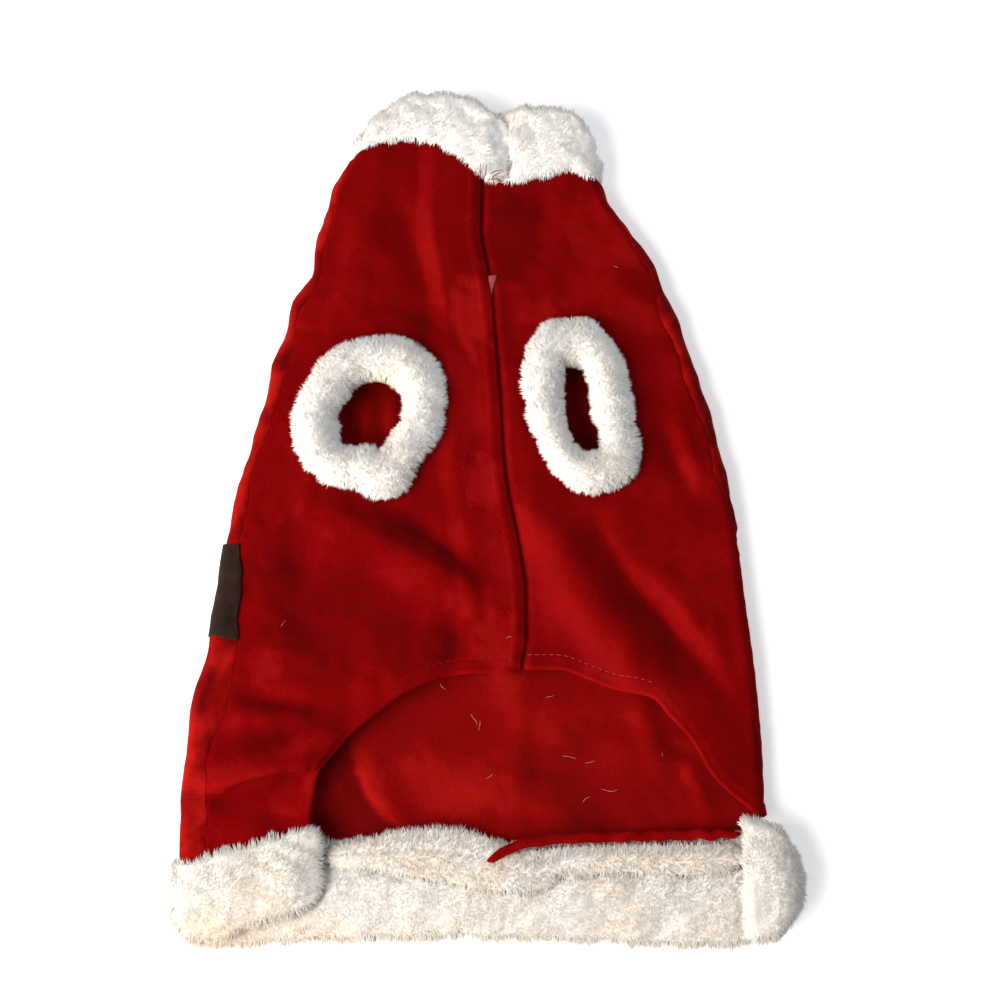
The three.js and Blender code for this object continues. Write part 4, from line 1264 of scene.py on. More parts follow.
def build_back():
    """The back panel: from the left seam round under the coat to the right seam. Its neck and hem
    lines turn from the upper layer's to the lower layer's round each fold."""
    wrap = np.concatenate([NEAR_SEAM[:-1], np.linspace(NEAR_SEAM[-1], 40, 16)])
    along_wrap = wrap / wrap[-1]
    floor_count = 92
    columns_count = 2 * len(wrap) + floor_count

    def across_at(y):
        """Distance round the tube of every column at the heights Y."""
        _, _, radius, fold_left, fold_right = section(y)
        half_turn = np.pi * radius
        parts = []
        for side, start, seam in ((-1, fold_left, left_seam(y)), (1, fold_right, right_seam(y))):
            total = np.abs(start + side * half_turn - seam)[..., None]
            near = np.minimum(wrap, total * along_wrap**0.5)
            run = mix(near, total * along_wrap, smooth(0.1, 0.5, along_wrap))
            parts.append(seam[..., None] + side * run)
        t = np.linspace(0, 1, floor_count + 2)[1:-1]
        # Under the coat from its left fold to its right one
        under = (fold_left - half_turn)[..., None] - (fold_right - fold_left)[..., None] * t
        return np.concatenate([parts[0], under, parts[1][..., ::-1]], -1)

    def row_x(level):
        """X of every column at one height Y."""
        across = across_at(np.array([level]))
        return skin(across, level + 0 * across)[0, :, 0]

    # How far each column has turned from the upper layer, 0, to the lower one, 1
    turned = smooth(0.25, 1.0, along_wrap)
    share = np.concatenate([turned, np.ones(floor_count), turned[::-1]])
    neck_x, hem_x = row_x(176.0), row_x(-172.0)
    left_half = np.arange(columns_count) < columns_count // 2
    neck_upper = np.where(left_half, COLLAR_LOW[1](-72), COLLAR_LOW[1](56))
    neck = mix(neck_upper, COLLAR_LOW[1](neck_x), share) + UNDER_FUR
    hem_upper = np.where(left_half, BAND_TOP[0](hem_x), RIGHT_ARCH["y"][-1])
    hem = mix(hem_upper, BAND_TOP[1](hem_x), share) - UNDER_FUR
    down, shift = recipe(NEAR_SEAM, NEAR_SEAM, PANEL_ROWS)
    y = mix(neck[None, :], hem[None, :], down[:, None]) - shift[:, None]
    across = np.zeros_like(y)
    for column in range(columns_count):
        across[:, column] = across_at(y[:, column])[:, column]
    middle = skin(across, y)
    # Cloth that shows inside the arch and the leg holes
    floor_part = smooth(0.55, 1.0, share)[None, :]
    x = middle[..., 0]
    relief = path_relief(x, y, INNER_FOLDS)
    relief = np.maximum(relief + 0.25 * ripple(np.stack([x, y], -1), 33, 41), 0)
    wedge_dip_and_shadow = wedge(x, y) * floor_part
    middle[..., 2] += relief * floor_part * smooth(-172, -160, y) * (1 - smooth(70, 90, y))
    middle[..., 2] = np.maximum(middle[..., 2] - 2.0 * wedge_dip_and_shadow, HALF)
    seam_distance = np.minimum(
        np.abs(across - left_seam(y)) + np.where(left_half, 0, 1e3)[None, :],
        np.abs(across - right_seam(y)) + np.where(left_half, 1e3, 0)[None, :],
    )
    ends = np.minimum(neck[None, :] - y, y - hem[None, :])
    edge = np.maximum(np.minimum(seam_distance, ends), 0)
    half = rounded_half(edge)
    normals = -grid_normals(middle)
    middle = middle + normals * (side_lumps(across, y, seam_distance) * (1 - floor_part))[..., None]
    places = np.stack([x, y], -1)
    side_nap = -0.03 + 0.15 * ripple(places, 19, 53) + 0.07 * ripple(places, 7, 54)
    # Painted light and shade by slope on the back panel.
    slope = painted_light_of_slope(np.where(floor_part[..., None] > 0.5, -normals, normals))
    # Painted shadow where the cloth is drawn in below the left panel's fold.
    nap_with_painted_light = nap_and_painted_shade_at(x, y) * floor_part + side_nap * (1 - floor_part) + slope - 0.36 * wedge_dip_and_shadow
    return cloth_shell(
        "back_cloth", middle, half, half, finish_of("red_wrong_side"), {"nap_with_painted_light": nap_with_painted_light}, flip=True
    )


class CostumeCloth(bpy.types.PropertyGroup):
    """Sizes of the cloth's sewing and finish."""

    stitch: bpy.props.FloatProperty(
        name="Stitch", description="Length of one stitch", default=0.0026, unit="LENGTH", min=0.001
    )
    thread: bpy.props.FloatProperty(
        name="Thread",
        description="Thickness of the sewing thread",
        default=0.00038,
        unit="LENGTH",
        min=0.0002,
    )


class CostumeFur(bpy.types.PropertyGroup):
    """Sizes of the fur."""

    pile: bpy.props.FloatProperty(
        name="Pile", description="Length of the fur's locks", default=0.004, unit="LENGTH", min=0.001
    )
    lock: bpy.props.FloatProperty(
        name="Lock", description="Width of a lock at its root", default=0.0008, unit="LENGTH", min=0.0002
    )
    density: bpy.props.FloatProperty(
        name="Density", description="Share of the full number of locks", default=1.0, min=0.05, max=1.0
    )


class CostumeStage(bpy.types.PropertyGroup):
    """The floor and the lights."""

    floor: bpy.props.FloatVectorProperty(
        name="Floor",
        description="Colour of the floor",
        subtype="COLOR",
        default=(0.92, 0.92, 0.92),
        min=0,
        max=1,
    )
    key: bpy.props.FloatProperty(
        name="Key light",
        description="Power of the light from the lower left",
        default=35.5,
        unit="POWER",
        min=0,
    )
    fill: bpy.props.FloatProperty(
        name="Fill light",
        description="Power of the light from the right",
        default=5.0,
        unit="POWER",
        min=0,
    )


# Where the back panel's hem turns over the facing: places and half width
HEM_LIP = columns(
    "x y z wide",
    (-1, -177.4, 10.8, 0.6),
    (1.5, -175.8, 11.4, 1.7),
    (6, -172.8, 11.6, 2.2),
    (14, -169.4, 11, 2.3),
    (24, -167.6, 10, 2.3),
    (36, -166.4, 8.9, 2.3),
    (52, -165.8, 8, 2.3),
    (80, -165, 7.6, 2.3),
    (118, -164.2, 7.2, 2.2),
)


def build_lip():
    """A narrow roll of the back panel's hem: a flattened tube along its places."""
    numbered = {**HEM_LIP, "i": np.arange(len(HEM_LIP["x"])) / (len(HEM_LIP["x"]) - 1)}
    rows, cols = 160, 18
    t = np.linspace(0, 1, rows)
    path = np.stack([follow(numbered, "i", key)(t) for key in ("x", "y", "z")], -1)
    path[:, 1] += 0.35 * ripple(path[:, :1], 11, 95)
    wide = follow(numbered, "i", "wide")(t) * np.sqrt(np.clip(1 - (2 * t - 1) ** 30, 0.03, 1))
    turn = np.linspace(0, 2 * np.pi, cols, endpoint=False)
    flat = unit(np.cross(np.array([0, 0, 1.0]), unit(np.gradient(path, axis=0))))
    grid = path[:, None, :] + flat[:, None, :] * (wide[:, None] * np.cos(turn))[..., None]
    grid[..., 2] += 0.6 * wide[:, None] * np.sin(turn)
    ring = np.arange(cols)[None, :]
    faces = [grid_faces(rows, cols, closed_cols=True), ring, (rows - 1) * cols + ring[:, ::-1]]
    points = grid.reshape(-1, 3)
    nap_with_painted_light = 0.1 + 0.08 * ripple(points, 9, 96)
    return put_mesh("hem_lip", points, faces, finish_of("red_velour"), {"nap_with_painted_light": nap_with_painted_light})


class COSTUME_OT_back(bpy.types.Operator):
    """Makes the back panel, which wraps round both sides up to the seams"""

    bl_idname = "costume.back"
    bl_label = "Back panel"

    def execute(self, context):
        piece = declare(build_back(), ["back_panel"])
        lip = declare(build_lip(), [])
        return {"FINISHED"}


class COSTUME_OT_belly(bpy.types.Operator):
    """Makes the two belly panels, which overlap at the placket"""

    bl_idname = "costume.belly"
    bl_label = "Belly panels"

    def execute(self, context):
        left = build_belly("belly_cloth_left", left_panel(), LEFT_CUFF, laps=True)
        declare(left, ["belly_left"])
        right = build_belly("belly_cloth_right", right_panel(), RIGHT_CUFF, laps=False)
        declare(right, ["belly_right"])
        return {"FINISHED"}


# Fur


WALL_INSET = 0.7  # how far a fur wall's broad faces stay inside the solid's
BODY_MARGIN = 0.4  # how far a fur wall's body stays above the floor
HOLD_BACK = 1.8  # how far a leg band's body stays back from its hole, which the locks fill


def fur_wall(path, edges, inset, along_count, flat_count, droop=0):
    """A fur wall's grid: along its path in X and Z, bars with round edges between the low and top
    edge at that X, drawn in at those by an inset. Its ends shrink to a rounded tip, and the low
    edge of its first side droops."""
    size = len(path["x"])
    numbered = {**path, "i": np.arange(size) / (size - 1)}
    along_x, along_z, along_thick = (follow(numbered, "i", field) for field in ("x", "z", "thick"))
    lows = [follow(table, "x", "low") for table in edges]
    tops = [follow(table, "x", "top") for table in edges]
    end = 1.0 / (size - 1)
    turns = np.radians([0, 12, 28, 48, 68])
    tips = end * (0.15 + 0.75 * (1 - np.cos(turns)))
    t = np.concatenate([tips, np.linspace(tips[-1], 1 - tips[-1], along_count)[1:-1], 1 - tips[::-1]])
    shrink = np.concatenate([np.sin(turns + 0.12), np.ones(along_count - 2), np.sin(turns + 0.12)[::-1]])
    x, z = along_x(t), along_z(t)
    step = 2e-3
    dx, dz = along_x(t + step) - along_x(t - step), along_z(t + step) - along_z(t - step)
    out = unit(np.stack([dz, 0 * dz, -dx], -1))
    side = path["side"][np.clip(np.round(t * (size - 1)).astype(int), 0, size - 1)].astype(int)
    low = np.choose(side, [f(x) for f in lows]) + inset
    top = np.choose(side, [f(x) for f in tops]) - inset
    bulge = (along_thick(t) / 2 - WALL_INSET) * shrink
    half = (top - low) / 2 - bulge - 3.5 * (1 - shrink)
    # One turn round the bar: its top edge, its outer face, its low edge and its inner face
    arc = np.linspace(-np.pi / 2, np.pi / 2, 9)
    flat = np.linspace(1, -1, flat_count + 2)[1:-1]
    ring_y = np.concatenate([np.cos(arc), 0 * flat, -np.cos(arc), 0 * flat])
    ring_half = np.concatenate([arc * 0 + 1, flat, arc * 0 - 1, -flat])
    ring_out = np.concatenate([np.sin(arc), flat * 0 + 1, -np.sin(arc), flat * 0 - 1])
    crown = 1 - 0.22 * np.abs(ring_half) ** 3
    middle = (low + top) / 2
    y = middle[:, None] + half[:, None] * ring_half + bulge[:, None] * ring_y
    centre = np.stack([x, 0 * x, z], -1)[:, None, :]
    points = centre + out[:, None, :] * (bulge[:, None] * ring_out * crown)[..., None]
    points[..., 1] = y
    loose = ((side == 0) * smooth(path["x"].min() + 2, path["x"].min() + 16, x))[:, None]
    points[..., 2] -= droop * loose * smooth(0.25, -1.0, ring_half)
    points[..., 2] = np.maximum(points[..., 2], BODY_MARGIN)
    return points


def ring_normals(points, closed_along):
    """Normals of a grid whose rings close, and that may close along them too: the cross product of
    its two differences."""
    around = np.roll(points, -1, axis=1) - np.roll(points, 1, axis=1)
    if closed_along:
        along = np.roll(points, -1, axis=0) - np.roll(points, 1, axis=0)
    else:
        along = np.gradient(points, axis=0)
    return unit(np.cross(along, around))


def cuff_grid(table, lift, inset, steps, around):
    """A leg band's grid: its section carried round the hole, drawn in by an inset, on the panel's
    own height."""
    inner, outer = cuff_edges(table, steps)
    width = np.linalg.norm(outer - inner, axis=-1)
    direction = (outer - inner) / width[:, None]
    reach = CUFF_SECTION["share"][None, :] * width[:, None] + CUFF_SECTION["reach"][None, :]
    height = np.broadcast_to(CUFF_SECTION["height"], reach.shape)
    profile = closed_spline(np.stack([reach, height], -1).transpose(1, 0, 2), around).transpose(1, 0, 2)
    tangent = np.roll(profile, -1, axis=1) - np.roll(profile, 1, axis=1)
    outwards = unit(np.stack([tangent[..., 1], -tangent[..., 0]], -1))
    centre = profile.mean(1, keepdims=True)
    facing = np.sign(((profile - centre) * outwards).sum(-1).sum(-1))[:, None, None]
    profile = profile - outwards * facing * inset
    profile[..., 1] = np.maximum(profile[..., 1], -2.6)
    profile[..., 0] = HOLD_BACK + profile[..., 0] * (1 - HOLD_BACK / width[:, None])
    xy = inner[:, None, :] + direction[:, None, :] * profile[..., :1]
    x, y = xy[..., 0], xy[..., 1]
    z = upper_layer(x, y) + lift(x, y) + HALF + profile[..., 1]
    return np.stack([x, y, z], -1)


def scatter(points, faces, vectors, count, rng, weight=None):
    """Random places on a mesh of quads, as many on each part as its area times its weight, and
    the vectors there."""
    corners = points[faces]
    area = np.linalg.norm(np.cross(corners[:, 2] - corners[:, 0], corners[:, 3] - corners[:, 1]), axis=-1)
    if weight is not None:
        area = area * weight[faces].mean(1)
    chosen = rng.choice(len(faces), count, p=area / area.sum())
    u, v = rng.random((2, count, 1))
    weights = ((1 - u) * (1 - v), u * (1 - v), u * v, (1 - u) * v)
    place_on = sum(w * points[faces[chosen, i]] for i, w in enumerate(weights))
    return place_on, *(unit(sum(w * v[faces[chosen, i]] for i, w in enumerate(weights))) for v in vectors)


def locks(places, normals, lay, rng, length, width, lean, spread, tone, calm):
    """Fur locks: three-sided spikes that stand on the surface and lean with the lay, in clumps that
    turn the same way. Returns points, faces, normals and attributes."""
    count = len(places)
    clump = np.stack([ripple(places, 5.5, seed) for seed in (61, 62, 63)], -1)
    lone = rng.normal(size=(count, 3))
    broad = calm * smooth(0.55, 0.9, normals[:, 2])[:, None]
    tuft = np.stack([ripple(places, 2.6, seed) for seed in (65, 66, 67)], -1)
    turned = (0.25 - 0.22 * broad) * clump + spread * (1 - 0.8 * broad) * lone + 0.55 * (1 - calm) * tuft
    direction = unit(0.8 * normals + lean * lay + turned)
    direction = direction + np.maximum(0.12 - (direction * normals).sum(-1), 0)[:, None] * normals
    short = 1 - 0.72 * broad[:, 0]
    reach = length * short * rng.uniform(0.7, 1.15, count) * (1 + 0.12 * ripple(places, 7, 64))
    down = np.minimum(direction[:, 2], 0) * reach
    allowed = np.maximum(places[:, 2] - LOCK_MARGIN, 0)
    squash = np.where(-down > allowed, allowed / np.maximum(-down, 1e-6), 1)
    direction[:, 2] = np.where(direction[:, 2] < 0, direction[:, 2] * squash, direction[:, 2])
    across = unit(np.cross(direction, rng.normal(size=(count, 3))))
    other = np.cross(direction, across)
    size = width * (1 - 0.35 * broad) * rng.uniform(0.75, 1.15, count)[:, None]
    turns = rng.uniform(0, 2 * np.pi, count)[:, None]
    base = places - normals * 0.5
    corners = []
    for third in range(3):
        angle = turns + third * 2 * np.pi / 3
        corners.append(base + (np.cos(angle) * across + np.sin(angle) * other) * size * 0.58)
    tip = base + direction * (reach + 0.5)[:, None]
    points = np.stack([*corners, tip], 1)
    outwards = unit(points - base[:, None, :])
    upwards = np.array([0, 0, 0.6])
    shading = unit(0.9 * normals[:, None, :] + (0.12 + 0.55 * (1 - calm)) * outwards + upwards)
    start = np.arange(count)[:, None] * 4
    faces = np.concatenate([start + np.array([i, (i + 1) % 3, 3]) for i in range(3)])
    tips = np.tile([0.0, 0.0, 0.0, 1.0], (count, 1)) + rng.normal(0, 0.08, (count, 1))
    tones = np.repeat(tone(places)[:, None], 4, 1)
    return points.reshape(-1, 3), faces, shading.reshape(-1, 3), {"tip": tips, "tone": tones}


def no_tone(places):
    """How creamy the fur is, where nothing else is said: soft patches."""
    return 0.1 * ripple(places, 40, 71)


def fur_piece(
    name,
    cad_node,
    grid,
    *,
    count,
    seed,
    pile,
    lock=1.0,
    ring=False,
    bias=(0, 0, 0),
    lean=1.5,
    spread=0.2,
    tone=no_tone,
    weight=None,
    finish="white_fur",
    lumpy=1.0,
    calm=1.0,
):
    """A fur piece: a soft body with slight lumps, and the locks on it, as two objects. pile and lock
    are shares of the panel's sizes. The locks lie from the middle of the piece towards its edges,
    and with a bias that is the same all over; calm combs those that face up."""
    rows, cols = grid.shape[:2]
    normals = ring_normals(grid, ring)
    if (normals * (grid - grid.mean(1, keepdims=True))).sum() < 0:
        grid = grid[:, ::-1]
        normals = ring_normals(grid, ring)
    lumps = lumpy * (0.4 * ripple(grid, 17, seed) + 0.2 * ripple(grid, 6, seed + 1))
    body = grid + normals * (lumps * smooth(0.4, 3, grid[..., 2]))[..., None]
    lay = unit(grid - grid.mean(1, keepdims=True)) + np.array(bias, float)
    if not ring:
        # At a free end the locks also point on past it
        spine = unit(np.gradient(grid.mean(1), axis=0))
        i = np.arange(rows)[:, None]
        lay = lay + 1.2 * (spine * (smooth(rows - 16, rows - 3, i) - smooth(15, 2, i)))[:, None, :]
    lay = unit(lay)
    points, flat_normals = body.reshape(-1, 3), normals.reshape(-1, 3)
    quads = grid_faces(rows, cols, closed_rows=ring, closed_cols=True)
    faces = [quads]
    if not ring:
        half = cols // 2
        i = np.arange(half - 1)
        cap = np.stack([i, i + 1, cols - 2 - i, cols - 1 - i], -1)
        last = (rows - 1) * cols
        faces += [cap, cap[:, ::-1] + last]
    values = {"tip": np.full(len(points), 0.7), "tone": tone(points)}
    base = put_mesh(name + "_body", points, faces, finish_of(finish), values)
    declare(base, [cad_node])
    sizes = bpy.context.scene.costume_fur
    length, width = sizes.pile / MM * pile, sizes.lock / MM * lock
    wanted = int(count * sizes.density * (1))
    rng = np.random.default_rng(seed)
    if weight is not None:
        weight = weight(points)
    places, *directions = scatter(points, quads, (flat_normals, lay.reshape(-1, 3)), wanted, rng, weight)
    points, faces, shading, values = locks(places, *directions, rng, length, width, lean, spread, tone, calm)
    tufts = put_mesh(name + "_pile", points, [faces], finish_of(finish), values, shading)
    declare(tufts, [])
    return base, tufts


def facing_up(points):
    """More of the hem band's locks where it faces up or out than where it lies on the floor."""
    return 0.25 + 0.75 * smooth(2.2, 4.5, points[:, 2])


def band_tone(places):
    """The hem band is creamy low at the left and along its low edge, and a little so at the right."""
    x, y = places[:, 0], places[:, 1]
    low = 1 - smooth(-212, -190, y)
    left = np.exp(-(((x + 118) / 45) ** 2))
    right = np.exp(-(((x - 70) / 26) ** 2))
    return 0.1 * ripple(places, 40, 72) + 0.25 * low + 0.5 * left * low + 0.12 * left + 0.16 * right


def facing_tone(places):
    """The facing is a little creamier all along."""
    return 0.35 + 0.1 * ripple(places, 20, 73)


def cuff_tone(places):
    """The left leg band is creamy along its hole's edge at the upper right."""
    x, y = places[:, 0] + 61, places[:, 1] - 41
    inner = smooth(27, 19, np.hypot(x, y))
    upper_right = np.exp(-(((np.arctan2(y, x) - 1.1) / 0.55) ** 2))
    return 0.1 * ripple(places, 40, 71) + 0.9 * inner * upper_right


class COSTUME_OT_collar(bpy.types.Operator):
    """Makes the fur collar, its left front end over its right one"""

    bl_idname = "costume.collar"
    bl_label = "Collar"

    def execute(self, context):
        base, tufts = fur_piece(
            "collar_fur",
            "collar",
            fur_wall(COLLAR_PATH, COLLAR_EDGES, inset=1.5, along_count=200, flat_count=14),
            count=60000,
            seed=101,
            pile=0.85,
            bias=(0, 0.2, 0),
            calm=0.8,
        )
        return {"FINISHED"}


class COSTUME_OT_hem_band(bpy.types.Operator):
    """Makes the wide fur band on the hem, folded forward at both sides"""

    bl_idname = "costume.hem_band"
    bl_label = "Hem band"

    def execute(self, context):
        base, tufts = fur_piece(
            "hem_band_fur",
            "hem_band",
            fur_wall(BAND_PATH, BAND_EDGES, inset=1.6, along_count=310, flat_count=16, droop=2.4),
            count=66000,
            seed=201,
            pile=0.9,
            lock=1.05,
            bias=(0, -0.3, 0),
            weight=facing_up,
            tone=band_tone,
            finish="hem_fur_painted_darker",
            calm=0.88,
        )
        return {"FINISHED"}


def facing_grid():
    """The facing's grid: flattened rings along X between its low and top edge, lower and flatter
    towards the right, with a groove along the middle and a drooping edge."""
    low, top = follow(FACING_EDGES, "x", "low"), follow(FACING_EDGES, "x", "top")
    inset, rows, around = 0.8, 150, 44
    x = np.linspace(FACING_EDGES["x"][0] - 8, FACING_EDGES["x"][-1] + 12, rows)
    turn = np.linspace(0, 2 * np.pi, around, endpoint=False)
    end = np.sqrt(np.clip(1 - (np.abs(x - x.mean()) / (np.ptp(x) / 2)) ** 20, 0.02, 1))
    half = ((top(x) - low(x)) / 2 - inset) * end
    thick = (FACING_THICK / 2 - 0.3) * end
    sine = np.sign(np.sin(turn)) * np.abs(np.sin(turn)) ** 0.6
    y = ((top(x) + low(x)) / 2)[:, None] + half[:, None] * np.cos(turn)
    flatter = smooth(5, 35, x)[:, None]
    groove_at = 0.15 - 0.75 * flatter
    groove = 0.8 * np.exp(-(((np.cos(turn) - groove_at) / 0.13) ** 2)) * (np.sin(turn) > 0)
    droop = 1.2 * smooth(0.2, 1, np.cos(turn)) + 1.6 * smooth(-40, -68, x)[:, None]
    droop = droop + 1.0 * flatter * smooth(-0.5, -1, np.cos(turn))
    rise = (1 - 0.4 * flatter) * (thick[:, None] * sine - groove * end[:, None])
    z = FACING_LEVEL - 0.9 * flatter + rise - droop
    return np.stack([np.broadcast_to(x[:, None], y.shape), y, z], -1)


class COSTUME_OT_facing(bpy.types.Operator):
    """Makes the narrow fur strip along the band's inside"""

    bl_idname = "costume.facing"
    bl_label = "Hem facing"

    def execute(self, context):
        base, tufts = fur_piece(
            "facing_fur",
            "hem_facing",
            facing_grid(),
            count=15000,
            seed=301,
            pile=0.75,
            lock=0.9,
            lean=1.3,
            spread=0.14,
            tone=facing_tone,
            finish="hem_fur_painted_darker",
            lumpy=0.35,
            calm=0.4,
        )
        return {"FINISHED"}


class COSTUME_OT_cuffs(bpy.types.Operator):
    """Makes the two fur leg bands, each a ring round its leg hole"""

    bl_idname = "costume.cuffs"
    bl_label = "Leg bands"

    def execute(self, context):
        for name, table, lift, seed in (
            ("left", LEFT_CUFF, left_lift, 401),
            ("right", RIGHT_CUFF, right_lift, 501),
        ):
            base, tufts = fur_piece(
                f"cuff_{name}_fur",
                f"cuff_{name}",
                cuff_grid(table, lift, inset=1.3, steps=170, around=40),
                count=36000,
                seed=seed,
                pile=0.85,
                lock=0.95,
                ring=True,
                lean=0.9,
                spread=0.28,
                tone=cuff_tone,
                calm=0.3,
            )
        return {"FINISHED"}


class COSTUME_OT_belt(bpy.types.Operator):
    """Makes the black strip sewn across the outside of the back"""

    bl_idname = "costume.belt"
    bl_label = "Belt"

    def execute(self, context):
        piece = build_belt()
        declare(piece, ["belt"])
        return {"FINISHED"}


def build_belt():
    """The belt: the back panel's points moved out, from one side seam round to the other."""
    wrap, floor_count = 22, 70  # columns round each side and under the coat
    drop = 3.0  # how much lower the belt's edge ends at the left seam
    end_part = np.clip(1 - np.arange(2 * wrap + floor_count) / 12, 0, 1)
    low = BELT_LOW - drop * end_part
    top = BELT_TOP - end_part
    near = np.array([0, 0.05, 0.2, 0.45, 0.9, 1.6, 2.6])
    down, shift = recipe(near, near, 22)
    y = mix(top[None, :], low[None, :], down[:, None]) - shift[:, None]
    _, _, radius, fold_left, fold_right = section(y)
    half_turn = np.pi * radius
    t = np.concatenate([near / 14, np.linspace(near[-1] / 14, 1, wrap - len(near) + 1)[1:]])
    left_run = left_seam(y)[:, :wrap] + (fold_left - half_turn - left_seam(y))[:, :wrap] * t
    right_end = right_seam(y)[:, -wrap:] + BELT_TUCK
    right_run = right_end + ((fold_right + half_turn)[:, -wrap:] - right_end) * t[::-1]
    inner = np.linspace(0, 1, floor_count + 2)[1:-1]
    flat_y = y[:, wrap:-wrap]
    _, _, radius, fold_left, fold_right = section(flat_y)
    floor_run = fold_left - np.pi * radius - (fold_right - fold_left) * inner
    across = np.concatenate([left_run, floor_run, right_run], 1)
    middle = skin(across, y)
    normals = -grid_normals(middle)
    edge = np.minimum.reduce([top[None, :] - y, y - low[None, :]])
    ends = np.minimum(np.abs(across - left_seam(y)), np.abs(across - right_seam(y) - BELT_TUCK))
    edge = np.maximum(np.minimum(edge, ends), 0)
    half = BELT_THICK / 2 * np.sqrt(1 - (1 - np.clip(edge / 0.45, 0, 1)) ** 2)
    turned = smooth(0.5, 2.5, np.abs(normals[..., 2] + 1))
    lumps = side_lumps(across, y, ends) * turned
    wave = 0.1 * ripple(np.stack([across, y], -1), 14, 91)
    out = HALF + SEAM_GAP * 0.6 + BELT_THICK / 2 + wave + lumps + 0.35 * turned
    middle = middle + normals * out[..., None]
    middle[..., 2] = np.maximum(middle[..., 2], BELT_THICK / 2)
    return cloth_shell("belt_cloth", middle, half, half, finish_of("belt_cloth"), {}, flip=True)


# Sewing


def tube(points, radius, sides=5, taper=True):
    """A thin tube along a path, pinched to a point at both ends where it tapers."""
    points = np.asarray(points, float)
    along = unit(np.gradient(points, axis=0))
    up = unit(np.cross(along, np.cross(np.array([0.0, 0, 1]), along) + 1e-6))
    side = np.cross(along, up)
    angle = np.linspace(0, 2 * np.pi, sides, endpoint=False)
    size = np.full(len(points), radius)
    if taper:
        size = radius * np.sqrt(np.clip(1 - np.linspace(-1, 1, len(points)) ** 4, 0.02, 1))
    ring = np.cos(angle)[None, :, None] * up[:, None, :] + np.sin(angle)[None, :, None] * side[:, None, :]
    return points[:, None, :] + ring * size[:, None, None]


def tubes_mesh(name, grids, material):
    """Joins tubes of one size of grid into one mesh, with closed ends."""
    points, faces, start = [], [], 0
    for grid in grids:
        rows, cols = grid.shape[:2]
        quads = grid_faces(rows, cols, closed_cols=True)
        ring = start + np.arange(cols)[None, :]
        points.append(grid.reshape(-1, 3))
        faces += [quads[:, ::-1] + start, ring, ring[:, ::-1] + (rows - 1) * cols]
        start += rows * cols
    return put_mesh(name, np.concatenate(points), faces, material)


def stitch_line(path, height, stitch, gap, thickness, rng):
    """Stitches along a path of X and Y: each a short tube that dips at both ends, on a surface
    whose height is a function of X and Y."""
    path = np.asarray(path, float)
    lengths = np.concatenate([[0], np.cumsum(np.linalg.norm(np.diff(path, axis=0), axis=1))])
    starts = np.arange(0, lengths[-1] - stitch, stitch + gap)
    grids = []
    for start in starts:
        s = np.linspace(start, start + stitch * rng.uniform(0.9, 1.05), 6)
        x = np.interp(s, lengths, path[:, 0])
        y = np.interp(s, lengths, path[:, 1])
        z = height(x, y) + 0.22 * np.sin(np.linspace(0, np.pi, 6)) - 0.12
        grids.append(tube(np.stack([x, y, z], -1), thickness / 2, 5))
    return grids


def left_top(x, y):
    """Height of the left panel's upper face."""
    return upper_layer(x, y) + left_lift(x, y) + HALF


def right_top(x, y):
    """Height of the right panel's upper face."""
    return upper_layer(x, y) + right_lift(x, y) + HALF


class COSTUME_OT_sewing(bpy.types.Operator):
    """Makes the stitched lines, the tape's outlines, thread ends and lint"""

    bl_idname = "costume.sewing"
    bl_label = "Sewing"

    def execute(self, context):
        sizes = context.scene.costume_cloth
        placket = OUTLINE["placket"]
        rng = np.random.default_rng(7)

        def sew(x, y, height, gap):
            path = np.stack(np.broadcast_arrays(x, y), -1)
            return stitch_line(path, height, sizes.stitch / MM, gap, sizes.thread / MM, rng)

        y = np.linspace(160, -84, 200)
        lines = sew(placket(y) - PLACKET_STITCH, y, left_top, 0.9)
        for low, high in TAPE_SPANS:
            ends = low + 1.5, high - 1.5
            y = np.linspace(*ends, 12)
            lines += sew(placket(y) - TAPE_WIDE, y, left_top, 1.0)
            for level in ends:
                edge = placket(np.array(level))
                lines += sew(np.linspace(edge - TAPE_WIDE, edge - 2.5, 12), level, left_top, 1.0)
        x = np.linspace(13, -70, 90)
        lines += sew(x, follow(LEFT_ARCH, "x", "y")(x) + HEM_STITCH, left_top, 0.9)
        declare(tubes_mesh("panel_stitches", lines, finish_of("red_thread")), [])
        x = np.linspace(18, 118, 120)
        lines = sew(x, follow(smoothed(RIGHT_ARCH), "x", "y")(x) + HEM_STITCH, right_top, 0.9)
        declare(tubes_mesh("hem_stitches", lines, finish_of("pale_thread")), [])
        declare(build_thread_ends(rng), [])
        declare(build_tape_tip(), [])
        declare(build_lint(rng), [])
        return {"FINISHED"}


# Loose thread ends at the placket's top: start, turn in degrees, length and bend
THREAD_ENDS = columns(
    "x y turn long bend",
    (-6.4, 167.5, 128, 8, 3),
    (-5, 168.5, 105, 6, -2),
    (-3.5, 167, 60, 7, 2),
    (-1.5, 169, 25, 8, -3),
    (-1, 167, -35, 7, 2.5),
    (-4, 166.5, 160, 5, -2),
    (0.5, 168, -10, 5, 2),
)
# Lint on the cloth: place, turn in degrees and length
LINT = columns(
    "x y turn long",
    (-99.5, -65, 60, 4),
    (9, -72, 20, 3),
    (-7.5, -110, -50, 6),
    (-5, -113, 75, 5),
    (29, -99, 10, 4),
    (38, -128, -12, 7),
    (48, -130, 15, 5),
    (57, -143, -8, 8),
    (46, -148, 35, 5),
    (-22.5, -94, -40, 4),
    (82, -128, 80, 5),
    (81, -130, 70, 3),
    (0, -137, 30, 4),
    (-40, 20, 15, 3),
    (64, 120, -30, 3),
)


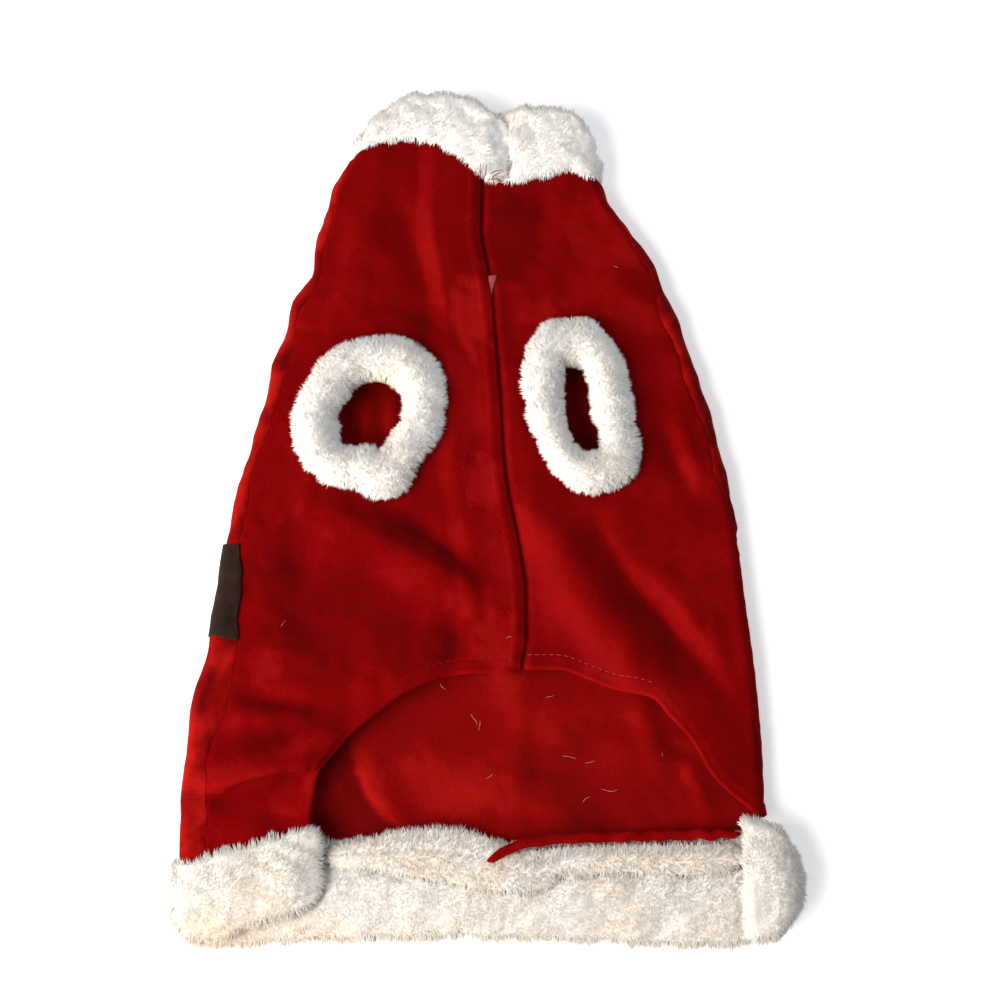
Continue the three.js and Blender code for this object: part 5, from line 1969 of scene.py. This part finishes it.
def build_thread_ends(rng):
    """Short thread ends that start on the collar's seam and curl up and over it."""
    grids = []
    for x, y, turn, long, bend in zip(*THREAD_ENDS.values()):
        t = np.linspace(0, 1, 9)
        angle = math.radians(turn)
        along, aside = t * long, bend * t * t
        px = x + along * math.cos(angle) - aside * math.sin(angle)
        py = y + along * math.sin(angle) + aside * math.cos(angle)
        pz = 16.2 + 5.0 * np.sin(t * 2.2) + rng.uniform(-0.3, 0.3)
        grids.append(tube(np.stack([px, py, pz], -1), 0.22, 5))
    return tubes_mesh("thread_ends", grids, finish_of("red_thread"))


def build_tape_tip():
    """The pale corner of the upper closure tape that stands out past the placket's edge: a thin
    three-cornered wall, slightly curled."""
    u, v = np.meshgrid(np.linspace(0, 1, 9), np.linspace(0, 1, 15))
    edge = OUTLINE["placket"](115 - 12 * v)
    x = edge - 2.5 + u * (7.2 - 5.4 * v)
    y = 115 - 12 * v - 1.2 * u * v + 0.8 * u
    z = right_top(x, y) + 0.5 + 1.3 * np.exp(-(((x - edge) / 2.5) ** 2)) + 0.5 * np.sin(3 * u + 2 * v)
    rim = np.minimum.reduce([u, 1 - u, v, 1 - v])
    half = 0.3 * np.sqrt(np.clip(rim / 0.08, 0, 1))
    middle = np.stack([x, y, z], -1)
    return cloth_shell("tape_tip", middle, half, half, finish_of("pale_thread"), {}, flip=True)


def build_lint(rng):
    """Fine pale hairs that lie on the cloth in loose bends."""
    grids = []
    for x, y, turn, long in zip(*LINT.values()):
        t = np.linspace(-0.5, 0.5, 9)
        angle = math.radians(turn)
        bow = long * (rng.uniform(-0.13, 0.13) * (1 - 4 * t * t) + rng.uniform(-0.6, 0.6) * t ** 3)
        px = x + long * t * math.cos(angle) - bow * math.sin(angle)
        py = y + long * t * math.sin(angle) + bow * math.cos(angle)
        panels = np.where(px < OUTLINE["placket"](py), left_top(px, py), right_top(px, py))
        z = np.where(py > np.interp(px, *arch_line()), panels, 2.6)
        grids.append(tube(np.stack([px, py, z + 0.3], -1), 0.07, 4))
    return tubes_mesh("lint", grids, finish_of("white_lint"))


def arch_line():
    """The arch's edge from side to side, in order of X."""
    return [np.concatenate([LEFT_ARCH[key][::-1], RIGHT_ARCH[key][2:]]) for key in ("x", "y")]


class COSTUME_OT_closures(bpy.types.Operator):
    """Gives the hook-and-loop pads between the placket's layers their finish"""

    bl_idname = "costume.closures"
    bl_label = "Closures"

    def execute(self, context):
        tape = finish_of("closure_tape")
        for name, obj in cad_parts.items():
            if name.startswith("closure_"):
                obj.data.materials.clear()
                obj.data.materials.append(tape)
        return {"FINISHED"}


class COSTUME_OT_stage(bpy.types.Operator):
    """Makes the pale floor, the soft lights and the camera"""

    bl_idname = "costume.stage"
    bl_label = "Stage"

    def execute(self, context):
        sizes = context.scene.costume_stage
        bpy.ops.mesh.primitive_plane_add(size=6, location=(0, 0, -0.0004))
        floor = context.active_object
        floor.name = "floor"
        material, _, shader = principled("floor", Roughness=0.95, Specular_IOR_Level=0.1)
        shader.inputs["Base Color"].default_value = (*sizes.floor, 1)
        shader.inputs["Emission Color"].default_value = (1, 1, 1, 1)
        shader.inputs["Emission Strength"].default_value = 0.3
        floor.data.materials.append(material)

        def area(name, place_at, power, size, colour):
            """A soft square light that faces the frame's origin."""
            light = bpy.data.lights.new(name, "AREA")
            light.energy, light.size, light.color = power, size, colour
            obj = bpy.data.objects.new(name, light)
            context.scene.collection.objects.link(obj)
            obj.location = place_at
            obj.rotation_euler = (-Vector(place_at)).to_track_quat("-Z", "Y").to_euler()

        area("key", (-0.95, -0.55, 0.8), sizes.key, 1.1, (1.0, 0.93, 0.85))
        area("fill", (0.9, 0.7, 0.9), sizes.fill, 0.9, (0.86, 0.92, 1.0))
        world = bpy.data.worlds.new("studio")
        world.use_nodes = True
        background = world.node_tree.nodes["Background"]
        background.inputs["Color"].default_value = (0.96, 0.97, 1.0, 1)
        background.inputs["Strength"].default_value = 0.36
        context.scene.world = world
        context.scene.view_settings.view_transform = "Standard"
        camera = bpy.data.cameras.new("camera")
        camera.lens = 57.6
        camera.sensor_width = 36
        holder = bpy.data.objects.new("camera", camera)
        context.scene.collection.objects.link(holder)
        tilt, distance, aim = math.radians(15), 0.8, np.array([0.00705, -0.00105, 0])
        holder.location = aim + distance * np.array([0, -math.sin(tilt), math.cos(tilt)])
        holder.rotation_euler = (tilt, 0, 0)
        context.scene.camera = holder
        return {"FINISHED"}


STEPS = ("back", "belly", "collar", "hem_band", "facing", "cuffs", "belt", "closures", "sewing", "stage")


class COSTUME_PT_panel(bpy.types.Panel):
    """Lists the costume's steps in the sidebar"""

    bl_label = "Dog santa costume"
    bl_idname = "COSTUME_PT_panel"
    bl_space_type = "VIEW_3D"
    bl_region_type = "UI"
    bl_category = "Costume"

    def draw(self, context):
        for group in (context.scene.costume_cloth, context.scene.costume_fur, context.scene.costume_stage):
            for key in group.bl_rna.properties.keys():
                if key not in ("rna_type", "name"):
                    self.layout.prop(group, key)
        for step in STEPS:
            self.layout.operator(f"costume.{step}")


CLASSES = (
    CostumeCloth,
    CostumeFur,
    CostumeStage,
    COSTUME_OT_back,
    COSTUME_OT_belly,
    COSTUME_OT_collar,
    COSTUME_OT_hem_band,
    COSTUME_OT_facing,
    COSTUME_OT_cuffs,
    COSTUME_OT_belt,
    COSTUME_OT_closures,
    COSTUME_OT_sewing,
    COSTUME_OT_stage,
    COSTUME_PT_panel,
)


def register():
    for made in CLASSES:
        bpy.utils.register_class(made)
    bpy.types.Scene.costume_cloth = bpy.props.PointerProperty(type=CostumeCloth)
    bpy.types.Scene.costume_fur = bpy.props.PointerProperty(type=CostumeFur)
    bpy.types.Scene.costume_stage = bpy.props.PointerProperty(type=CostumeStage)


def unregister():
    del bpy.types.Scene.costume_cloth
    del bpy.types.Scene.costume_fur
    del bpy.types.Scene.costume_stage
    for made in reversed(CLASSES):
        bpy.utils.unregister_class(made)


def main():
    register()
    for step in STEPS:
        getattr(bpy.ops.costume, step)()


if __name__ == "__main__":
    main()
